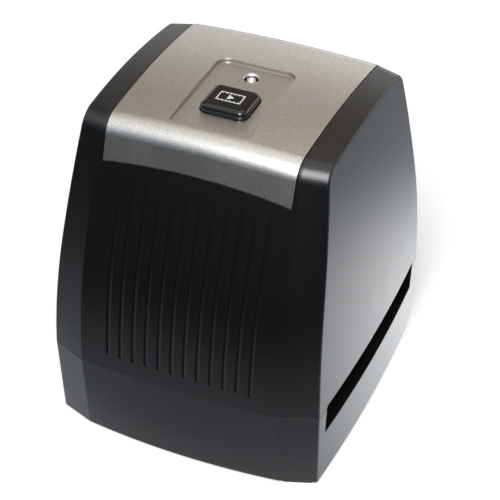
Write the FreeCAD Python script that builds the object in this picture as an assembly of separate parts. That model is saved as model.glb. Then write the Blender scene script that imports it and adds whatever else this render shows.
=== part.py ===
# Film negative scanner: a desk box with a film slot that runs through it from side to side.
# Millimetres, +Z up, +Y to the back, origin on the standing surface under the middle of the body.
import FreeCAD, Part
import math
import os

os.makedirs("parts", exist_ok=True)

# Shared
overrun = 2.0          # how far a cut runs past what it cuts
touch_gap = 0.1        # between fixed pieces that seat on each other
running_gap = 0.05     # radial, between a moving pin and its bore

# Body: heights
foot_proud = 1.2       # the feet lift the base by this
base_tall = 26.7       # base, from its bottom to the seam
crest_rise = 76.0      # top of the body above the seam, where the bevels start
crest_crown = 1.0      # the middle of the top stands higher by this
seam_gap = 0.2         # dark line between base and upper shell

# Body: half depths, front and back alike
face_reach = 46.9      # front face at the seam, where the bevel starts
face_bow = 0.7         # the middle of the front face stands further out
corner_set = 4.5       # the corner edge at the seam lies this far behind the face
face_radius = 140.0    # the face curves back above the seam
face_lean = 17.5       # degrees, straight part of the face
bevel_lean = 18.4      # degrees, bevel at its inner edge
corner_lean = 15.6     # degrees, bevel at its outer edge
shoulder_radius = 6.5  # between face and top
crest_radius = 232.0   # top, seen from the side
bottom_toe = 2.7       # the base draws in to its bottom, front face
corner_toe = 2.1       # the same at the corners
bottom_bow = 2.1       # bow of the front face at the bottom

# Body: half widths
seam_half = 42.0       # corner edges at the seam
waist_set = 2.3        # corner edges half way up, in from those at the seam
top_half = 35.1        # corner edges level with the top
rim_wide = 4.1         # from there in to where the bevels start
bottom_set = 0.4       # corner edges at the bottom, in from those at the seam
side_bulge = 1.5       # the sides bow out in plan
bevel_drop = 1.2       # how far the top falls along a bevel, from inner edge to outer edge
bevel_sink = 0.08      # the bevel lies this far under the crest where the front bevel starts
edge_round = 0.8       # corner edges

# Walls
shell_wall = 2.8
base_wall = 2.4
floor_thick = 2.2
lip_tall = 1.6         # tongue of the shell inside the base
lip_thick = 1.1
lip_gap = 0.15

# Film slot
slot_drop = 9.3        # below the seam
slot_rise = 0.8        # above the seam
slot_margin = 5.1      # from its end to the corner edge
notch_step = 0.4       # the shell's notch is shorter at each end
sill_deep = 0.8        # ledge inside the wall under the slot
sill_thick = 2.5

# Grooves on the front
groove_count = 12
groove_pitch = 4.06
groove_wide = 1.5      # from its steep wall across its gentle wall
groove_lead = 0.4      # the steep wall lies this far to the left of the groove's place
groove_deep = 0.55
groove_lift = 5.0      # lower end above the seam
groove_stop = 3.7      # upper end below the panel's edge, where the depth runs out
groove_runout = 0.04   # a groove's floor and gentle wall end this far outside the face
groove_shares = (1.0, 0.95, 0.85, 0.6)  # depth at even steps up its length, before it runs out

# Top panel
panel_thick = 1.4
panel_proud = 0.15
panel_set = 2.4        # from where the bevels start in to its side edge
panel_flare = 0.016    # widening per length, towards the back
panel_gap = 0.25       # reveal round the panel
panel_fall = 10.8      # middle of the lower edge below the top
panel_arch = 2.3       # the ends of the lower edge lie lower by this

# Pocket in the panel, with the button and the indicator
pocket_half = 12.1
pocket_front = 14.9    # from the button's middle
pocket_back = 20.6
pocket_corner = 1.6
pocket_back_corner = 3.4
pocket_depth = 1.9     # below the highest point of the panel, at the button's middle
pocket_slope = 0.036   # the floor falls by this per length, towards the front
pocket_ramp = 0.8      # run of the sloped front edge
pocket_ramp_rise = 0.6
dish_wall = 1.2
dish_gap = 0.4
button_back = -11.0    # middle of the button along Y
indicator_shift = 14.5 # from the button's middle
indicator_hole = 4.1
indicator_bevel = 0.4
indicator_wide = 3.0
indicator_proud = 0.3
indicator_tall = 4.6
indicator_rim = 3.8
indicator_foot = 0.9
lead_wide = 0.5
lead_pitch = 1.6

# Button
button_wide = 14.2
button_long = 13.0
button_corner = 2.4
button_proud = 2.2
button_round = 1.5
button_gap = 0.25
button_travel = 0.8
flange_lap = 1.0       # flange past the cap, under the pocket floor
flange_thick = 1.0
stem_wide = 3.4
stem_long = 1.7

# Switch under the button
switch_wide = 6.0
switch_tall = 3.4
plunger_wide = 3.4
plunger_proud = 1.55
plunger_sunk = 1.6
plunger_spare = 0.3     # left under the pin at the end of its travel

# Button board
board_thick = 1.2
board_half = 19.0
board_front = 12.0     # from the button's middle
board_back = 20.0
post_wide = 4.4
post_inset = 2.4

# Screws
screw_wide = 2.0
screw_head = 3.8
head_thick = 1.4
drive_wide = 1.8
drive_slot = 0.5
drive_deep = 0.8
screw_gap = 0.1
board_screw_long = 5.0
housing_screw_long = 22.0
housing_screw_head = 4.2
column_wide = 5.8
column_x = 26.0
column_set = 5.3       # from the face at the seam
head_seat = 13.2       # seat of the housing screw above the base's bottom
boss_tall = 18.0

# Feet
foot_long = 10.0
foot_wide = 6.4
foot_corner = 1.5
foot_sunk = 0.8
foot_inset = 0.9

# Film tray and cover
tray_gap = 0.8         # beside the sills
tray_floor = 2.2
tray_wall = 1.2
tray_pad = 5.0         # supports on the base's floor
tray_pad_side = 6.0    # from the tray's end
tray_pad_set = 7.3     # from the slot's end
window_long = 38.0
window_wide = 26.0
cover_thick = 2.0
cover_side = 1.0       # shorter than the tray at each end
cover_lap = 1.1        # past the slot's end, over the tray's wall
lug_lap = 2.1          # past the screw
lug_half = 2.6
gate_post_set = 3.9    # past the slot's end
gate_cable_gap = 0.7   # beside the light's cable
gate_post_wide = 4.2
gate_screw_wide = 1.6
gate_screw_head = 3.2
gate_screw_long = 6.0

# Click stop for the film holder
stop_set = 4.3         # from the slot's end
stop_nose = 2.5        # diameter
stop_proud = 0.9       # into the film channel, and its travel
stop_body = 3.8
stop_body_long = 1.1
stop_tail = 1.4
stop_tail_long = 1.8
stop_barrel = 6.2
stop_drop = 6.0        # seat of the spring below the tray
spring_wire = 0.35
spring_side = 0.9      # smaller than the pin's body, at the middle of the wire
spring_turns = 3.5
turn_points = 36       # measured per turn

# Light under the film
box_side = 3.9         # beside the cable's plug
box_wide = 40.0
box_wall = 1.5
diffuser_thick = 1.3
diffuser_ledge = 1.0
light_board_thick = 1.2
light_rows = 3
light_columns = 4
light_pitch_x = 11.0
light_plug_gap = 2.9   # between the last row and the plug
light_chip = 3.0
light_chip_tall = 1.2
cable_notch_tall = 1.4

# Optical tower
flange_long = 56.0
flange_wide = 44.0
tower_flange = 2.0
tower_rim = 4.0        # flange past the foot of the body
tower_top = 24.0
optics_gap = 4.05      # between the sensor's screws and the button board
tower_wall = 1.6
deck_rim = 3.0         # past the lens holder
deck_thick = 2.0
tower_screw_inset = 2.6
tower_screw_bite = 1.6 # into the cover

# Lens
barrel_wide = 12.0
barrel_bore = 9.0
barrel_seat = 0.5      # its upper end below the filter's seat
barrel_drop = 7.0      # below the deck's top
barrel_lip = 0.8
barrel_step = 4.5      # rib between the two lenses
deck_hole_gap = 0.5    # round the barrel
front_lens_thick = 2.6
rear_lens_thick = 2.0
lens_edge = 1.0
holder_wide = 20.0
holder_tall = 10.0
holder_ear = 32.0
holder_ear_wide = 7.0
holder_cell_long = 14.6
holder_cell_wide = 12.6
holder_cell_tall = 4.5
filter_gap = 0.3       # to the sides of its seat
filter_thick = 0.7
sensor_gap = 1.1       # to the sides of the holder
sensor_thick = 2.0
sensor_board_rim = 1.0 # past the holder's ears
sensor_board_reach = 16.0
sensor_board_thick = 1.6
sensor_screw_inset = 3.0
sensor_screw_bite = 1.4 # into the tower

# Main board, upright at the back
main_half = 27.0
main_gap = 1.25        # from its upper edge to the inside of the shell
main_thick = 1.6
main_lift = 5.2        # above the seam
main_tall = 35.0
main_post_inset = 4.0
main_screw_long = 4.8
processor_wide = 14.0
processor_thick = 1.4
memory_long = 12.0
memory_wide = 8.0
memory_thick = 1.1
crystal_long = 11.0
crystal_wide = 4.5
crystal_thick = 3.5
capacitor_wide = 5.0
capacitor_tall = 5.4
capacitor_count = 3
capacitor_pitch = 7.0

# Computer socket
socket_wide = 7.7
socket_tall = 4.0
socket_long = 9.3
socket_skin = 0.4
socket_deep = 6.5
socket_tongue_wide = 4.8
socket_tongue_thick = 0.8
socket_lift = 5.0      # above the lower edge of the main board
socket_gap = 0.35
socket_bevel = 1.0

# Shares of the main board: across its half width, up its height
processor_shares = (0.1, 0.5)
memory_shares = (-0.6, 0.55)
crystal_shares = (0.57, 0.233)
capacitor_shares = (-0.6, 0.16)

# Flat cables
cable_thick = 0.3
cable_bend = 4.0
cable_fold = 1.5       # tighter bend, close under the main board
fold_run = 0.8         # straight run out of the plug, before it
sensor_cable_wide = 12.0
button_cable_wide = 5.0
light_cable_wide = 5.0
plug_tall = 1.8
plug_deep = 3.0
plug_rim = 0.8
sensor_cable_x = -5.0
button_cable_x = 8.0
light_plug_side = 0.2  # beside the main board's post
light_plug_set = 1.1   # from the edge of the light's board
light_cable_set = 2.6  # behind the film cover
knee_share = 1.0       # fall of the light's cable per reach, behind the main board

# Derived sizes and places
waist_half = seam_half - waist_set
bottom_half = seam_half - bottom_set
corner_reach = face_reach - corner_set
bevel_half = top_half - rim_wide
slot_half = corner_reach - slot_margin
panel_half = bevel_half - panel_set
panel_reach = crest_rise - panel_fall
groove_fade = panel_reach - groove_stop
column_y = face_reach - column_set
tray_half = seam_half - base_wall - sill_deep - tray_gap
tray_pad_x = tray_half - tray_pad_side
tray_pad_y = slot_half - tray_pad_set
cover_half = tray_half - cover_side
cover_reach = slot_half + cover_lap
gate_post_y = slot_half + gate_post_set
lug_reach = gate_post_y + lug_lap
stop_y = slot_half - stop_set
spring_mean = stop_body - spring_side
main_post_x = main_half - main_post_inset
light_plug_half = light_cable_wide / 2 + plug_rim
light_cable_x = post_wide / 2 + light_plug_side + light_plug_half - main_post_x
gate_post_x = -light_cable_x - light_cable_wide / 2 - gate_cable_gap - gate_post_wide / 2
box_half = light_plug_half - light_cable_x + box_side + diffuser_ledge + box_wall
light_plug_y = box_wide / 2 - box_wall - diffuser_ledge - light_plug_set - plug_deep
light_pitch_y = (light_plug_y - light_plug_gap - light_chip / 2) / ((light_rows - 1) / 2)
tower_screw_x = flange_long / 2 - tower_screw_inset
tower_screw_y = flange_wide / 2 - tower_screw_inset
sensor_screw_x = holder_ear / 2 - sensor_screw_inset
sensor_board_half = holder_ear / 2 + sensor_board_rim
sensor_screw_long = sensor_board_thick + holder_tall + sensor_screw_bite
barrel_tall = barrel_drop + holder_tall - holder_cell_tall - barrel_seat
base_bottom = foot_proud
seam_z = base_bottom + base_tall
floor_z = base_bottom + floor_thick
slot_low = seam_z - slot_drop
slot_top = seam_z + slot_rise
crest_z = seam_z + crest_rise
beyond = seam_half + side_bulge + face_reach
head_seat_z = base_bottom + head_seat
tray_top = slot_low - touch_gap
tray_low = tray_top - tray_floor
cover_low = slot_top + 2 * touch_gap
cover_top = cover_low + cover_thick
stop_seat_z = tray_low - stop_drop
pocket_z = crest_z + crest_crown + panel_proud - pocket_depth
indicator_y = button_back + indicator_shift
stem_z = pocket_z - dish_wall - touch_gap - flange_thick - stem_long
switch_z = stem_z - running_gap - plunger_proud
board_z = switch_z - switch_tall - board_thick
sensor_board_z = board_z - optics_gap - head_thick - sensor_board_thick
deck_top = sensor_board_z - holder_tall
deck_low = deck_top - deck_thick
board_y0 = button_back - board_front
board_y1 = button_back + board_back
light_cable_z = floor_z + box_wall + light_board_thick + plug_tall / 2


def vec(x, y, z):
    return FreeCAD.Vector(x, y, z)


def block(x0, x1, y0, y1, z0, z1):
    """Box between two corners, given in any order."""
    low = vec(min(x0, x1), min(y0, y1), min(z0, z1))
    return Part.makeBox(abs(x1 - x0), abs(y1 - y0), abs(z1 - z0), low)


def plate(half_x, half_y, z0, z1, x=0.0, y=0.0):
    """Box centred on a point in plan."""
    return block(x - half_x, x + half_x, y - half_y, y + half_y, z0, z1)


def post(wide, z0, z1, x=0.0, y=0.0):
    """Upright cylinder of a given diameter."""
    return Part.makeCylinder(wide / 2, z1 - z0, vec(x, y, z0), vec(0, 0, 1))


def bevelled_rim(wide, bevel, z, x, y):
    """Cutter for the bevel round a hole in a level face."""
    return Part.makeCone(wide / 2, wide / 2 + 2 * bevel, 2 * bevel, vec(x, y, z - bevel), vec(0, 0, 1))


def rod(wide, y0, y1, x=0.0, z=0.0):
    """Cylinder along Y."""
    return Part.makeCylinder(wide / 2, y1 - y0, vec(x, y0, z), vec(0, 1, 0))


def line(a, b):
    return Part.LineSegment(a, b).toShape()


def arc(a, b, c):
    return Part.Arc(a, b, c).toShape()


def sheet(points, x0, x1):
    """Straight-sided outline in (y, z), as a body from x0 to x1."""
    corners = [vec(x0, y, z) for y, z in points]
    face = Part.Face(Part.makePolygon(corners + corners[:1]))
    return face.extrude(vec(x1 - x0, 0, 0))


def rounded(half_x, y0, y1, corner, z0, z1, back_corner=None):
    """Upright block with round corners, which may differ at the back."""
    body = block(-half_x, half_x, y0, y1, z0, z1)
    middle = (y0 + y1) / 2
    for place, radius in ((-1, corner), (1, back_corner or corner)):
        edges = [e for e in body.Edges if upright(e) and (e.CenterOfMass.y - middle) * place > corner]
        body = body.makeFillet(radius, edges)
    return body


def upright(edge):
    ends = edge.Vertexes
    return len(ends) == 2 and math.hypot(ends[0].X - ends[1].X, ends[0].Y - ends[1].Y) < edge.Length / 2


def fuse(first, others):
    """One clean solid out of several."""
    return first.multiFuse(others).removeSplitter()


def group(solids):
    return Part.makeCompound(solids)


def four(x, y):
    """The four mirrored places of a point in plan."""
    return [(side * x, end * y) for side in (-1, 1) for end in (-1, 1)]


def save(name, shape):
    shape.exportStep("parts/" + name + ".step")


def moved(shape, at, axis=None):
    """A piece made along +Z from the origin, stood at a point along an axis."""
    turn = FreeCAD.Rotation(vec(0, 0, 1), axis or vec(0, 0, 1))
    placed = shape.copy()
    placed.Placement = FreeCAD.Placement(at, turn)
    return placed


def screw(wide, head, long):
    """Screw along +Z, with the seat of its head at the origin."""
    shank = post(wide, 0, long)
    cap = post(head, -head_thick, 0)
    bar = plate(drive_wide / 2, drive_slot / 2, -head_thick, drive_deep - head_thick)
    cross = plate(drive_slot / 2, drive_wide / 2, -head_thick, drive_deep - head_thick)
    return shank.fuse(cap).removeSplitter().cut(bar).cut(cross)


# Body surfaces

def side_half(z):
    """Half width of the corner edges at a height, through three named widths."""
    t = (z - seam_z) / crest_rise
    curve = 2 * (top_half - 2 * waist_half + seam_half)
    slope = top_half - seam_half - curve
    return seam_half + slope * t + curve * t * t


def profile(x, reach, lean, rise, inset):
    """Side view outline of the body at one place across it, as a closed wire."""
    big = face_radius - inset
    small = shoulder_radius - inset
    crest = crest_radius - inset
    foot_y = inset - reach
    top_z = seam_z + rise - inset
    a = math.radians(lean)
    mid = (foot_y + big * (1 - math.cos(a / 2)), seam_z + big * math.sin(a / 2))
    end = (foot_y + big * (1 - math.cos(a)), seam_z + big * math.sin(a))
    inward = (math.cos(a), -math.sin(a))
    along = (math.sin(a), math.cos(a))
    # The shoulder's centre lies on a line beside the face and on a circle inside the crest.
    oy = end[0] + inward[0] * small
    oz = end[1] + inward[1] * small - (top_z - crest)
    b = oy * along[0] + oz * along[1]
    c = oy * oy + oz * oz - (crest - small) ** 2
    s = math.sqrt(b * b - c) - b
    fy = oy + along[0] * s
    fz = oz + along[1] * s
    from_crest = math.hypot(fy, fz)
    uy = fy / from_crest
    uz = fz / from_crest
    fz = fz + top_z - crest
    turn = math.hypot(uy - inward[0], uz - inward[1])
    tip = (fy - inward[0] * small, fz - inward[1] * small)
    bend = (fy + (uy - inward[0]) / turn * small, fz + (uz - inward[1]) / turn * small)
    start = (fy + uy * small, fz + uz * small)
    front = [(foot_y, seam_z - overrun), (foot_y, seam_z), mid, end, tip, bend, start]
    f = [vec(x, y, z) for y, z in front]
    r = [vec(x, -y, z) for y, z in front]
    edges = [
        line(f[0], f[1]),
        arc(f[1], f[2], f[3]),
        line(f[3], f[4]),
        arc(f[4], f[5], f[6]),
        arc(f[6], vec(x, 0, top_z), r[6]),
        arc(r[6], r[5], r[4]),
        line(r[4], r[3]),
        arc(r[3], r[2], r[1]),
        line(r[1], r[0]),
        line(r[0], f[0]),
    ]
    return Part.Wire(edges)


def crowned(inset):
    """Body of the crowned middle strip, run out past both sides."""
    wires = []
    for x in (-beyond / 2, 0.0, beyond / 2):
        fall = (x / bevel_half) ** 2
        reach = face_reach + face_bow * (1 - fall)
        rise = crest_rise + crest_crown * (1 - fall)
        wires.append(profile(x, reach, face_lean, rise, inset))
    return Part.makeLoft(wires, True, False)


def beside_bevel(side, inset):
    """What a bevel cuts away on one side."""
    run = seam_half - bevel_half
    wires = []
    for x in (bevel_half - run / 2, seam_half + run / 2):
        t = (x - bevel_half) / run
        reach = face_reach + (corner_reach - face_reach) * t
        lean = bevel_lean + (corner_lean - bevel_lean) * t
        rise = crest_rise - bevel_sink - bevel_drop * t
        wires.append(profile(side * x, reach, lean, rise, inset))
    kept = Part.makeLoft(wires, True, True)
    inner = side * (bevel_half - run / 2)
    outer = side * (seam_half + run / 2)
    space = block(inner, outer, -beyond, beyond, seam_z - overrun, crest_z + beyond)
    return space.cut(kept)


def side_slab(inset):
    """What lies between the two side faces."""
    wires = []
    low = seam_z - overrun
    high = crest_z + crest_crown + overrun
    y = face_reach + face_bow + overrun
    past = (y / corner_reach) ** 2
    for k in range(4):
        z = low + (high - low) * k / 3
        mid = side_half(z) + side_bulge - inset
        end = mid - side_bulge * past
        edges = [
            line(vec(-end, -y, z), vec(end, -y, z)),
            arc(vec(end, -y, z), vec(mid, 0, z), vec(end, y, z)),
            line(vec(end, y, z), vec(-end, y, z)),
            arc(vec(-end, y, z), vec(-mid, 0, z), vec(-end, -y, z)),
        ]
        wires.append(Part.Wire(edges))
    return Part.makeLoft(wires, True, False)


def upper_form(inset):
    """Upper body, drawn in by an inset, from under the seam to the top."""
    form = crowned(inset).common(side_slab(inset))
    for side in (-1, 1):
        form = form.cut(beside_bevel(side, inset))
    return form


def base_outline(z, inset):
    """Plan outline of the base at a height."""
    t = (z - base_bottom) / base_tall
    face = face_reach - bottom_toe * (1 - t) - inset
    corner = corner_reach - corner_toe * (1 - t) - inset
    half = bottom_half + (seam_half - bottom_half) * t - inset
    bow = bottom_bow + (face_bow - bottom_bow) * t
    b = bevel_half
    side = half + side_bulge
    edges = [
        arc(vec(-b, -face, z), vec(0, -face - bow, z), vec(b, -face, z)),
        line(vec(b, -face, z), vec(half, -corner, z)),
        arc(vec(half, -corner, z), vec(side, 0, z), vec(half, corner, z)),
        line(vec(half, corner, z), vec(b, face, z)),
        arc(vec(b, face, z), vec(0, face + bow, z), vec(-b, face, z)),
        line(vec(-b, face, z), vec(-half, corner, z)),
        arc(vec(-half, corner, z), vec(-side, 0, z), vec(-half, -corner, z)),
        line(vec(-half, -corner, z), vec(-b, -face, z)),
    ]
    return Part.Wire(edges)


def base_form(z0, z1, inset):
    return Part.makeLoft([base_outline(z0, inset), base_outline(z1, inset)], True, True)


def round_corners(form):
    """Round the four corner edges, bottom to top."""
    edges = []
    for e in form.Edges:
        across = abs(e.Vertexes[0].X - e.Vertexes[-1].X)
        level = abs(e.Vertexes[0].Z - e.Vertexes[-1].Z) < touch_gap
        rim = level and e.CenterOfMass.z < crest_z - 2 * overrun
        if abs(e.CenterOfMass.x) > bevel_half + rim_wide / 2 and across < e.Length / 2 and not rim:
            edges.append(e)
    return form.makeFillet(edge_round, edges)


# Slot, grooves and openings

def slot_space(half_y, z0, z1):
    return block(-beyond, beyond, -half_y, half_y, z0, z1)


def face_y(x, z):
    """Where the front face lies, at a place across it and a height."""
    bow = face_bow * (1 - (x / bevel_half) ** 2)
    a = math.radians(face_lean)
    up = z - seam_z
    bent = face_radius * math.sin(a)
    if up < bent:
        back = face_radius - math.sqrt(face_radius ** 2 - up ** 2)
    else:
        back = face_radius * (1 - math.cos(a)) + (up - bent) * math.tan(a)
    return back - face_reach - bow


def behind_face(z):
    """Where the inside of the rear wall lies at a height, level with the main board's ends."""
    up = z - seam_z
    lean = min(math.asin(up / face_radius), math.radians(face_lean))
    return -face_y(main_half, z) - shell_wall / math.cos(lean)


main_back = behind_face(seam_z + main_lift + main_tall) - main_gap


def groove_side(x, depths):
    """Outline of one wall of a groove, from its floor out past the face."""
    low = seam_z + groove_lift
    high = seam_z + groove_fade
    out = groove_deep + 2 * overrun
    step = (high - low) / len(groove_shares)
    points = [vec(x, face_y(x, low + k * step) + deep, low + k * step) for k, deep in enumerate(depths)]
    wall = Part.BSplineCurve()
    wall.interpolate(points)
    a = points[0]
    b = points[-1]
    c = vec(x, b.y - out, high)
    d = vec(x, a.y - out, low)
    return Part.Wire([wall.toShape(), line(b, c), line(c, d), line(d, a)])


def groove(x):
    """Cutter for one groove: steep on its left, gentle on its right, and running out at its upper end."""
    left = x - groove_lead
    depths = [groove_deep * share for share in groove_shares] + [-groove_runout]
    steep = groove_side(left, depths)
    gentle = groove_side(left + groove_wide, [-groove_runout] * len(depths))
    return Part.makeLoft([steep, gentle], True, True)


def socket_spot():
    """Middle of the computer socket: its height."""
    return seam_z + main_lift + socket_lift


def socket_opening():
    z = socket_spot()
    half_x = socket_wide / 2 + socket_gap
    half_z = socket_tall / 2 + socket_gap
    far = face_reach + face_bow + overrun
    hole = block(-half_x, half_x, main_back, far, z - half_z, z + half_z)
    rim_x = half_x + socket_bevel
    rim_z = half_z + socket_bevel
    sunk = -face_y(0, z) - socket_bevel
    return hole.fuse(block(-rim_x, rim_x, sunk, far, z - rim_z, z + rim_z))


# Housing

def board_posts():
    """Places of the four posts that carry the button board."""
    x = board_half - post_inset
    return [(side * x, y) for side in (-1, 1) for y in (board_y0 + post_inset, board_y1 - post_inset)]


def main_posts():
    """Places of the four posts that carry the main board, in (x, z)."""
    low = seam_z + main_lift + main_post_inset
    high = seam_z + main_lift + main_tall - main_post_inset
    return [(side * main_post_x, z) for side in (-1, 1) for z in (low, high)]


def lip():
    """Tongue of the upper shell that stands inside the base's rim."""
    outer = base_form(seam_z - lip_tall, seam_z + lip_tall, base_wall + lip_gap)
    inner = base_form(seam_z - lip_tall, seam_z + lip_tall, base_wall + lip_gap + lip_thick)
    ring = outer.cut(inner)
    for x, y in four(column_x, column_y):
        ring = ring.cut(post(column_wide + 4 * lip_gap, seam_z - lip_tall, seam_z, x, y))
    for x, y in four(gate_post_x, gate_post_y):
        ring = ring.cut(post(gate_post_wide + 4 * lip_gap, seam_z - lip_tall, seam_z + lip_tall, x, y))
    for x in (-gate_post_x, gate_post_x):
        lug = plate(lug_half + lip_gap, lug_reach + lip_gap, cover_low - lip_gap, seam_z + lip_tall, x)
        ring = ring.cut(lug)
    return ring


def make_upper_shell():
    above = block(-beyond, beyond, -beyond, beyond, seam_z + seam_gap, crest_z + beyond)
    outside = round_corners(upper_form(0.0).common(above))
    shell = outside.cut(upper_form(shell_wall))
    added = [lip()]
    for x, y in four(column_x, column_y):
        added.append(post(column_wide, seam_z, seam_z + boss_tall, x, y))
    within = upper_form(shell_wall / 2)
    for x, z in main_posts():
        added.append(rod(post_wide, main_back, face_reach, x, z).common(within))
    under_panel = upper_form((panel_thick + shell_wall) / 2)
    for x, y in board_posts():
        added.append(post(post_wide, board_z + board_thick, crest_z, x, y).common(under_panel))
    shell = fuse(shell, added)
    cuts = [panel_seat(), dish_hole(), socket_opening()]
    cuts.append(slot_space(slot_half - notch_step, seam_z - lip_tall - overrun, slot_top))
    for k in range(groove_count):
        cuts.append(groove((k - (groove_count - 1) / 2) * groove_pitch))
    for x, y in four(column_x, column_y):
        pilot = housing_screw_long - (seam_z - head_seat_z) + overrun
        cuts.append(post(screw_wide + 2 * screw_gap, seam_z - overrun, seam_z + pilot, x, y))
    for x, z in main_posts():
        depth = main_back - main_thick + main_screw_long + screw_gap
        cuts.append(rod(screw_wide + 2 * screw_gap, main_back - overrun, depth, x, z))
    for x, y in board_posts():
        depth = board_z + board_screw_long + screw_gap
        cuts.append(post(screw_wide + 2 * screw_gap, board_z, depth, x, y))
    for cut in cuts:
        shell = shell.cut(cut)
    return shell


def foot_places():
    """Middle and turn of each foot, which lies along a bevel of the base."""
    run = bottom_half - bevel_half
    rise = face_reach - bottom_toe - (corner_reach - corner_toe)
    long = math.hypot(run, rise)
    off = foot_inset + foot_wide / 2
    x = (bottom_half + bevel_half) / 2 - off * rise / long
    y = (face_reach - bottom_toe + corner_reach - corner_toe) / 2 - off * run / long
    turn = math.degrees(math.atan2(rise, run))
    return [(side * x, end * y, -side * end * turn) for side, end in four(1, 1)]


def foot_pad(z0, z1, grow):
    return rounded(foot_long / 2 + grow, -foot_wide / 2 - grow, foot_wide / 2 + grow, foot_corner, z0, z1)


def place_foot(pad, spot):
    x, y, turn = spot
    placed = pad.copy()
    placed.Placement = FreeCAD.Placement(vec(x, y, 0), FreeCAD.Rotation(vec(0, 0, 1), turn))
    return placed


def make_base_housing():
    outside = round_corners(base_form(base_bottom, seam_z, 0.0))
    base = outside.cut(base_form(floor_z, seam_z + overrun, base_wall))
    added = []
    within = base_form(floor_z, seam_z, base_wall / 2)
    low = slot_low - sill_thick
    for side in (-1, 1):
        inner = side * (tray_half + tray_gap)
        sill = block(inner, side * beyond, -slot_half, slot_half, low, slot_low)
        added.append(sill.common(within))
    for x, y in four(column_x, column_y):
        added.append(post(column_wide, base_bottom + touch_gap, seam_z, x, y))
    for x, y in four(gate_post_x, gate_post_y):
        added.append(post(gate_post_wide, base_bottom + touch_gap, cover_low, x, y))
    for x, y in four(tray_pad_x, tray_pad_y):
        added.append(post(tray_pad, base_bottom + touch_gap, tray_low, x, y))
    added.append(post(stop_barrel, base_bottom + touch_gap, stop_seat_z, 0, stop_y))
    base = fuse(base, added)
    cuts = [slot_space(slot_half, slot_low, seam_z + touch_gap)]
    for x, y in four(column_x, column_y):
        cuts.append(post(screw_wide + 4 * screw_gap, base_bottom - overrun, seam_z + overrun, x, y))
        cuts.append(post(housing_screw_head + 4 * screw_gap, base_bottom - overrun, head_seat_z, x, y))
    for x, y in four(gate_post_x, gate_post_y):
        depth = cover_top - gate_screw_long - screw_gap
        cuts.append(post(gate_screw_wide + 2 * screw_gap, depth, cover_top, x, y))
    pocket = foot_pad(base_bottom - overrun, base_bottom + foot_sunk + touch_gap, touch_gap)
    for spot in foot_places():
        cuts.append(place_foot(pocket, spot))
    for cut in cuts:
        base = base.cut(cut)
    return base


def make_rubber_feet():
    pad = foot_pad(0.0, base_bottom + foot_sunk, 0.0)
    return group([place_foot(pad, spot) for spot in foot_places()])


def make_housing_screws():
    one = screw(screw_wide, housing_screw_head, housing_screw_long)
    return group([moved(one, vec(x, y, head_seat_z)) for x, y in four(column_x, column_y)])


# Top panel

def strip(outer, inner, grow):
    """Layer between two insets, within the panel's outline grown on every side."""
    y = beyond / 2
    front = panel_half - panel_flare * y + grow
    back = panel_half + panel_flare * y + grow
    z = seam_z
    plan = [vec(-front, -y, z), vec(front, -y, z), vec(back, y, z), vec(-back, y, z)]
    face = Part.Face(Part.makePolygon(plan + plan[:1]))
    column = face.extrude(vec(0, 0, crest_rise + beyond))
    radius = (panel_half ** 2 + panel_arch ** 2) / (2 * panel_arch)
    middle = seam_z + panel_reach - grow - radius
    under = rod(2 * radius, -y, y, 0.0, middle)
    return crowned(outer).cut(crowned(inner)).common(column).cut(under)


def panel_seat():
    """What the shell gives up for the panel and its reveal."""
    return strip(-overrun, panel_thick - panel_proud + touch_gap, panel_gap)


def dish(grow, z0, z1):
    """Block round the pocket."""
    y0 = button_back - pocket_front - grow
    y1 = button_back + pocket_back + grow
    return rounded(pocket_half + grow, y0, y1, pocket_corner + grow, z0, z1, pocket_back_corner + grow)


def dish_hole():
    return dish(dish_wall + dish_gap, pocket_z - shell_wall - dish_wall - overrun, crest_z + beyond)


def pocket_floor(y):
    """Height of the pocket's floor, which follows the fall of the panel."""
    return pocket_z + pocket_slope * (y - button_back)


def pocket_cut():
    """Space of the pocket: a nearly level floor, with a sloped front edge."""
    high = crest_z + beyond / 2
    y0 = button_back - pocket_front
    y1 = button_back + pocket_back
    side = [
        (y0 + pocket_ramp, pocket_floor(y0 + pocket_ramp)),
        (y1 + overrun, pocket_floor(y1 + overrun)),
        (y1 + overrun, high),
        (y0 - overrun, high),
        (y0 - overrun, pocket_floor(y0) + pocket_ramp_rise * (1 + overrun / pocket_ramp)),
    ]
    slope = sheet(side, -beyond, beyond)
    return dish(0.0, pocket_z - dish_wall, high).common(slope)


def cap_space(grow, z0, z1):
    """Rounded upright block of the button cap, grown on every side."""
    half_y = button_long / 2 + grow
    corner = button_corner + grow
    return rounded(button_wide / 2 + grow, button_back - half_y, button_back + half_y, corner, z0, z1)


def make_top_panel():
    panel = strip(-panel_proud, panel_thick - panel_proud, 0.0)
    floor = dish(dish_wall, pocket_z - dish_wall, crest_z + beyond).common(crowned(-panel_proud))
    panel = panel.fuse(floor).removeSplitter()
    low = pocket_z - shell_wall
    high = pocket_z + button_proud
    cuts = [pocket_cut(), cap_space(button_gap, low, high)]
    cuts.append(post(indicator_hole, low, high, 0, indicator_y))
    cuts.append(bevelled_rim(indicator_hole, indicator_bevel, pocket_floor(indicator_y), 0, indicator_y))
    for cut in cuts:
        panel = panel.cut(cut)
    return panel


# Button, switch, indicator and their board

def make_scan_button():
    low = pocket_z - dish_wall - touch_gap
    cap = cap_space(0.0, low - flange_thick / 2, pocket_z + button_proud)
    top = [e for e in cap.Edges if e.CenterOfMass.z > pocket_z + button_proud - touch_gap]
    cap = cap.makeFillet(button_round, top)
    flange = cap_space(flange_lap, low - flange_thick, low)
    stem = post(stem_wide, low - flange_thick - stem_long, low, 0, button_back)
    return fuse(cap, [flange, stem])


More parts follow.
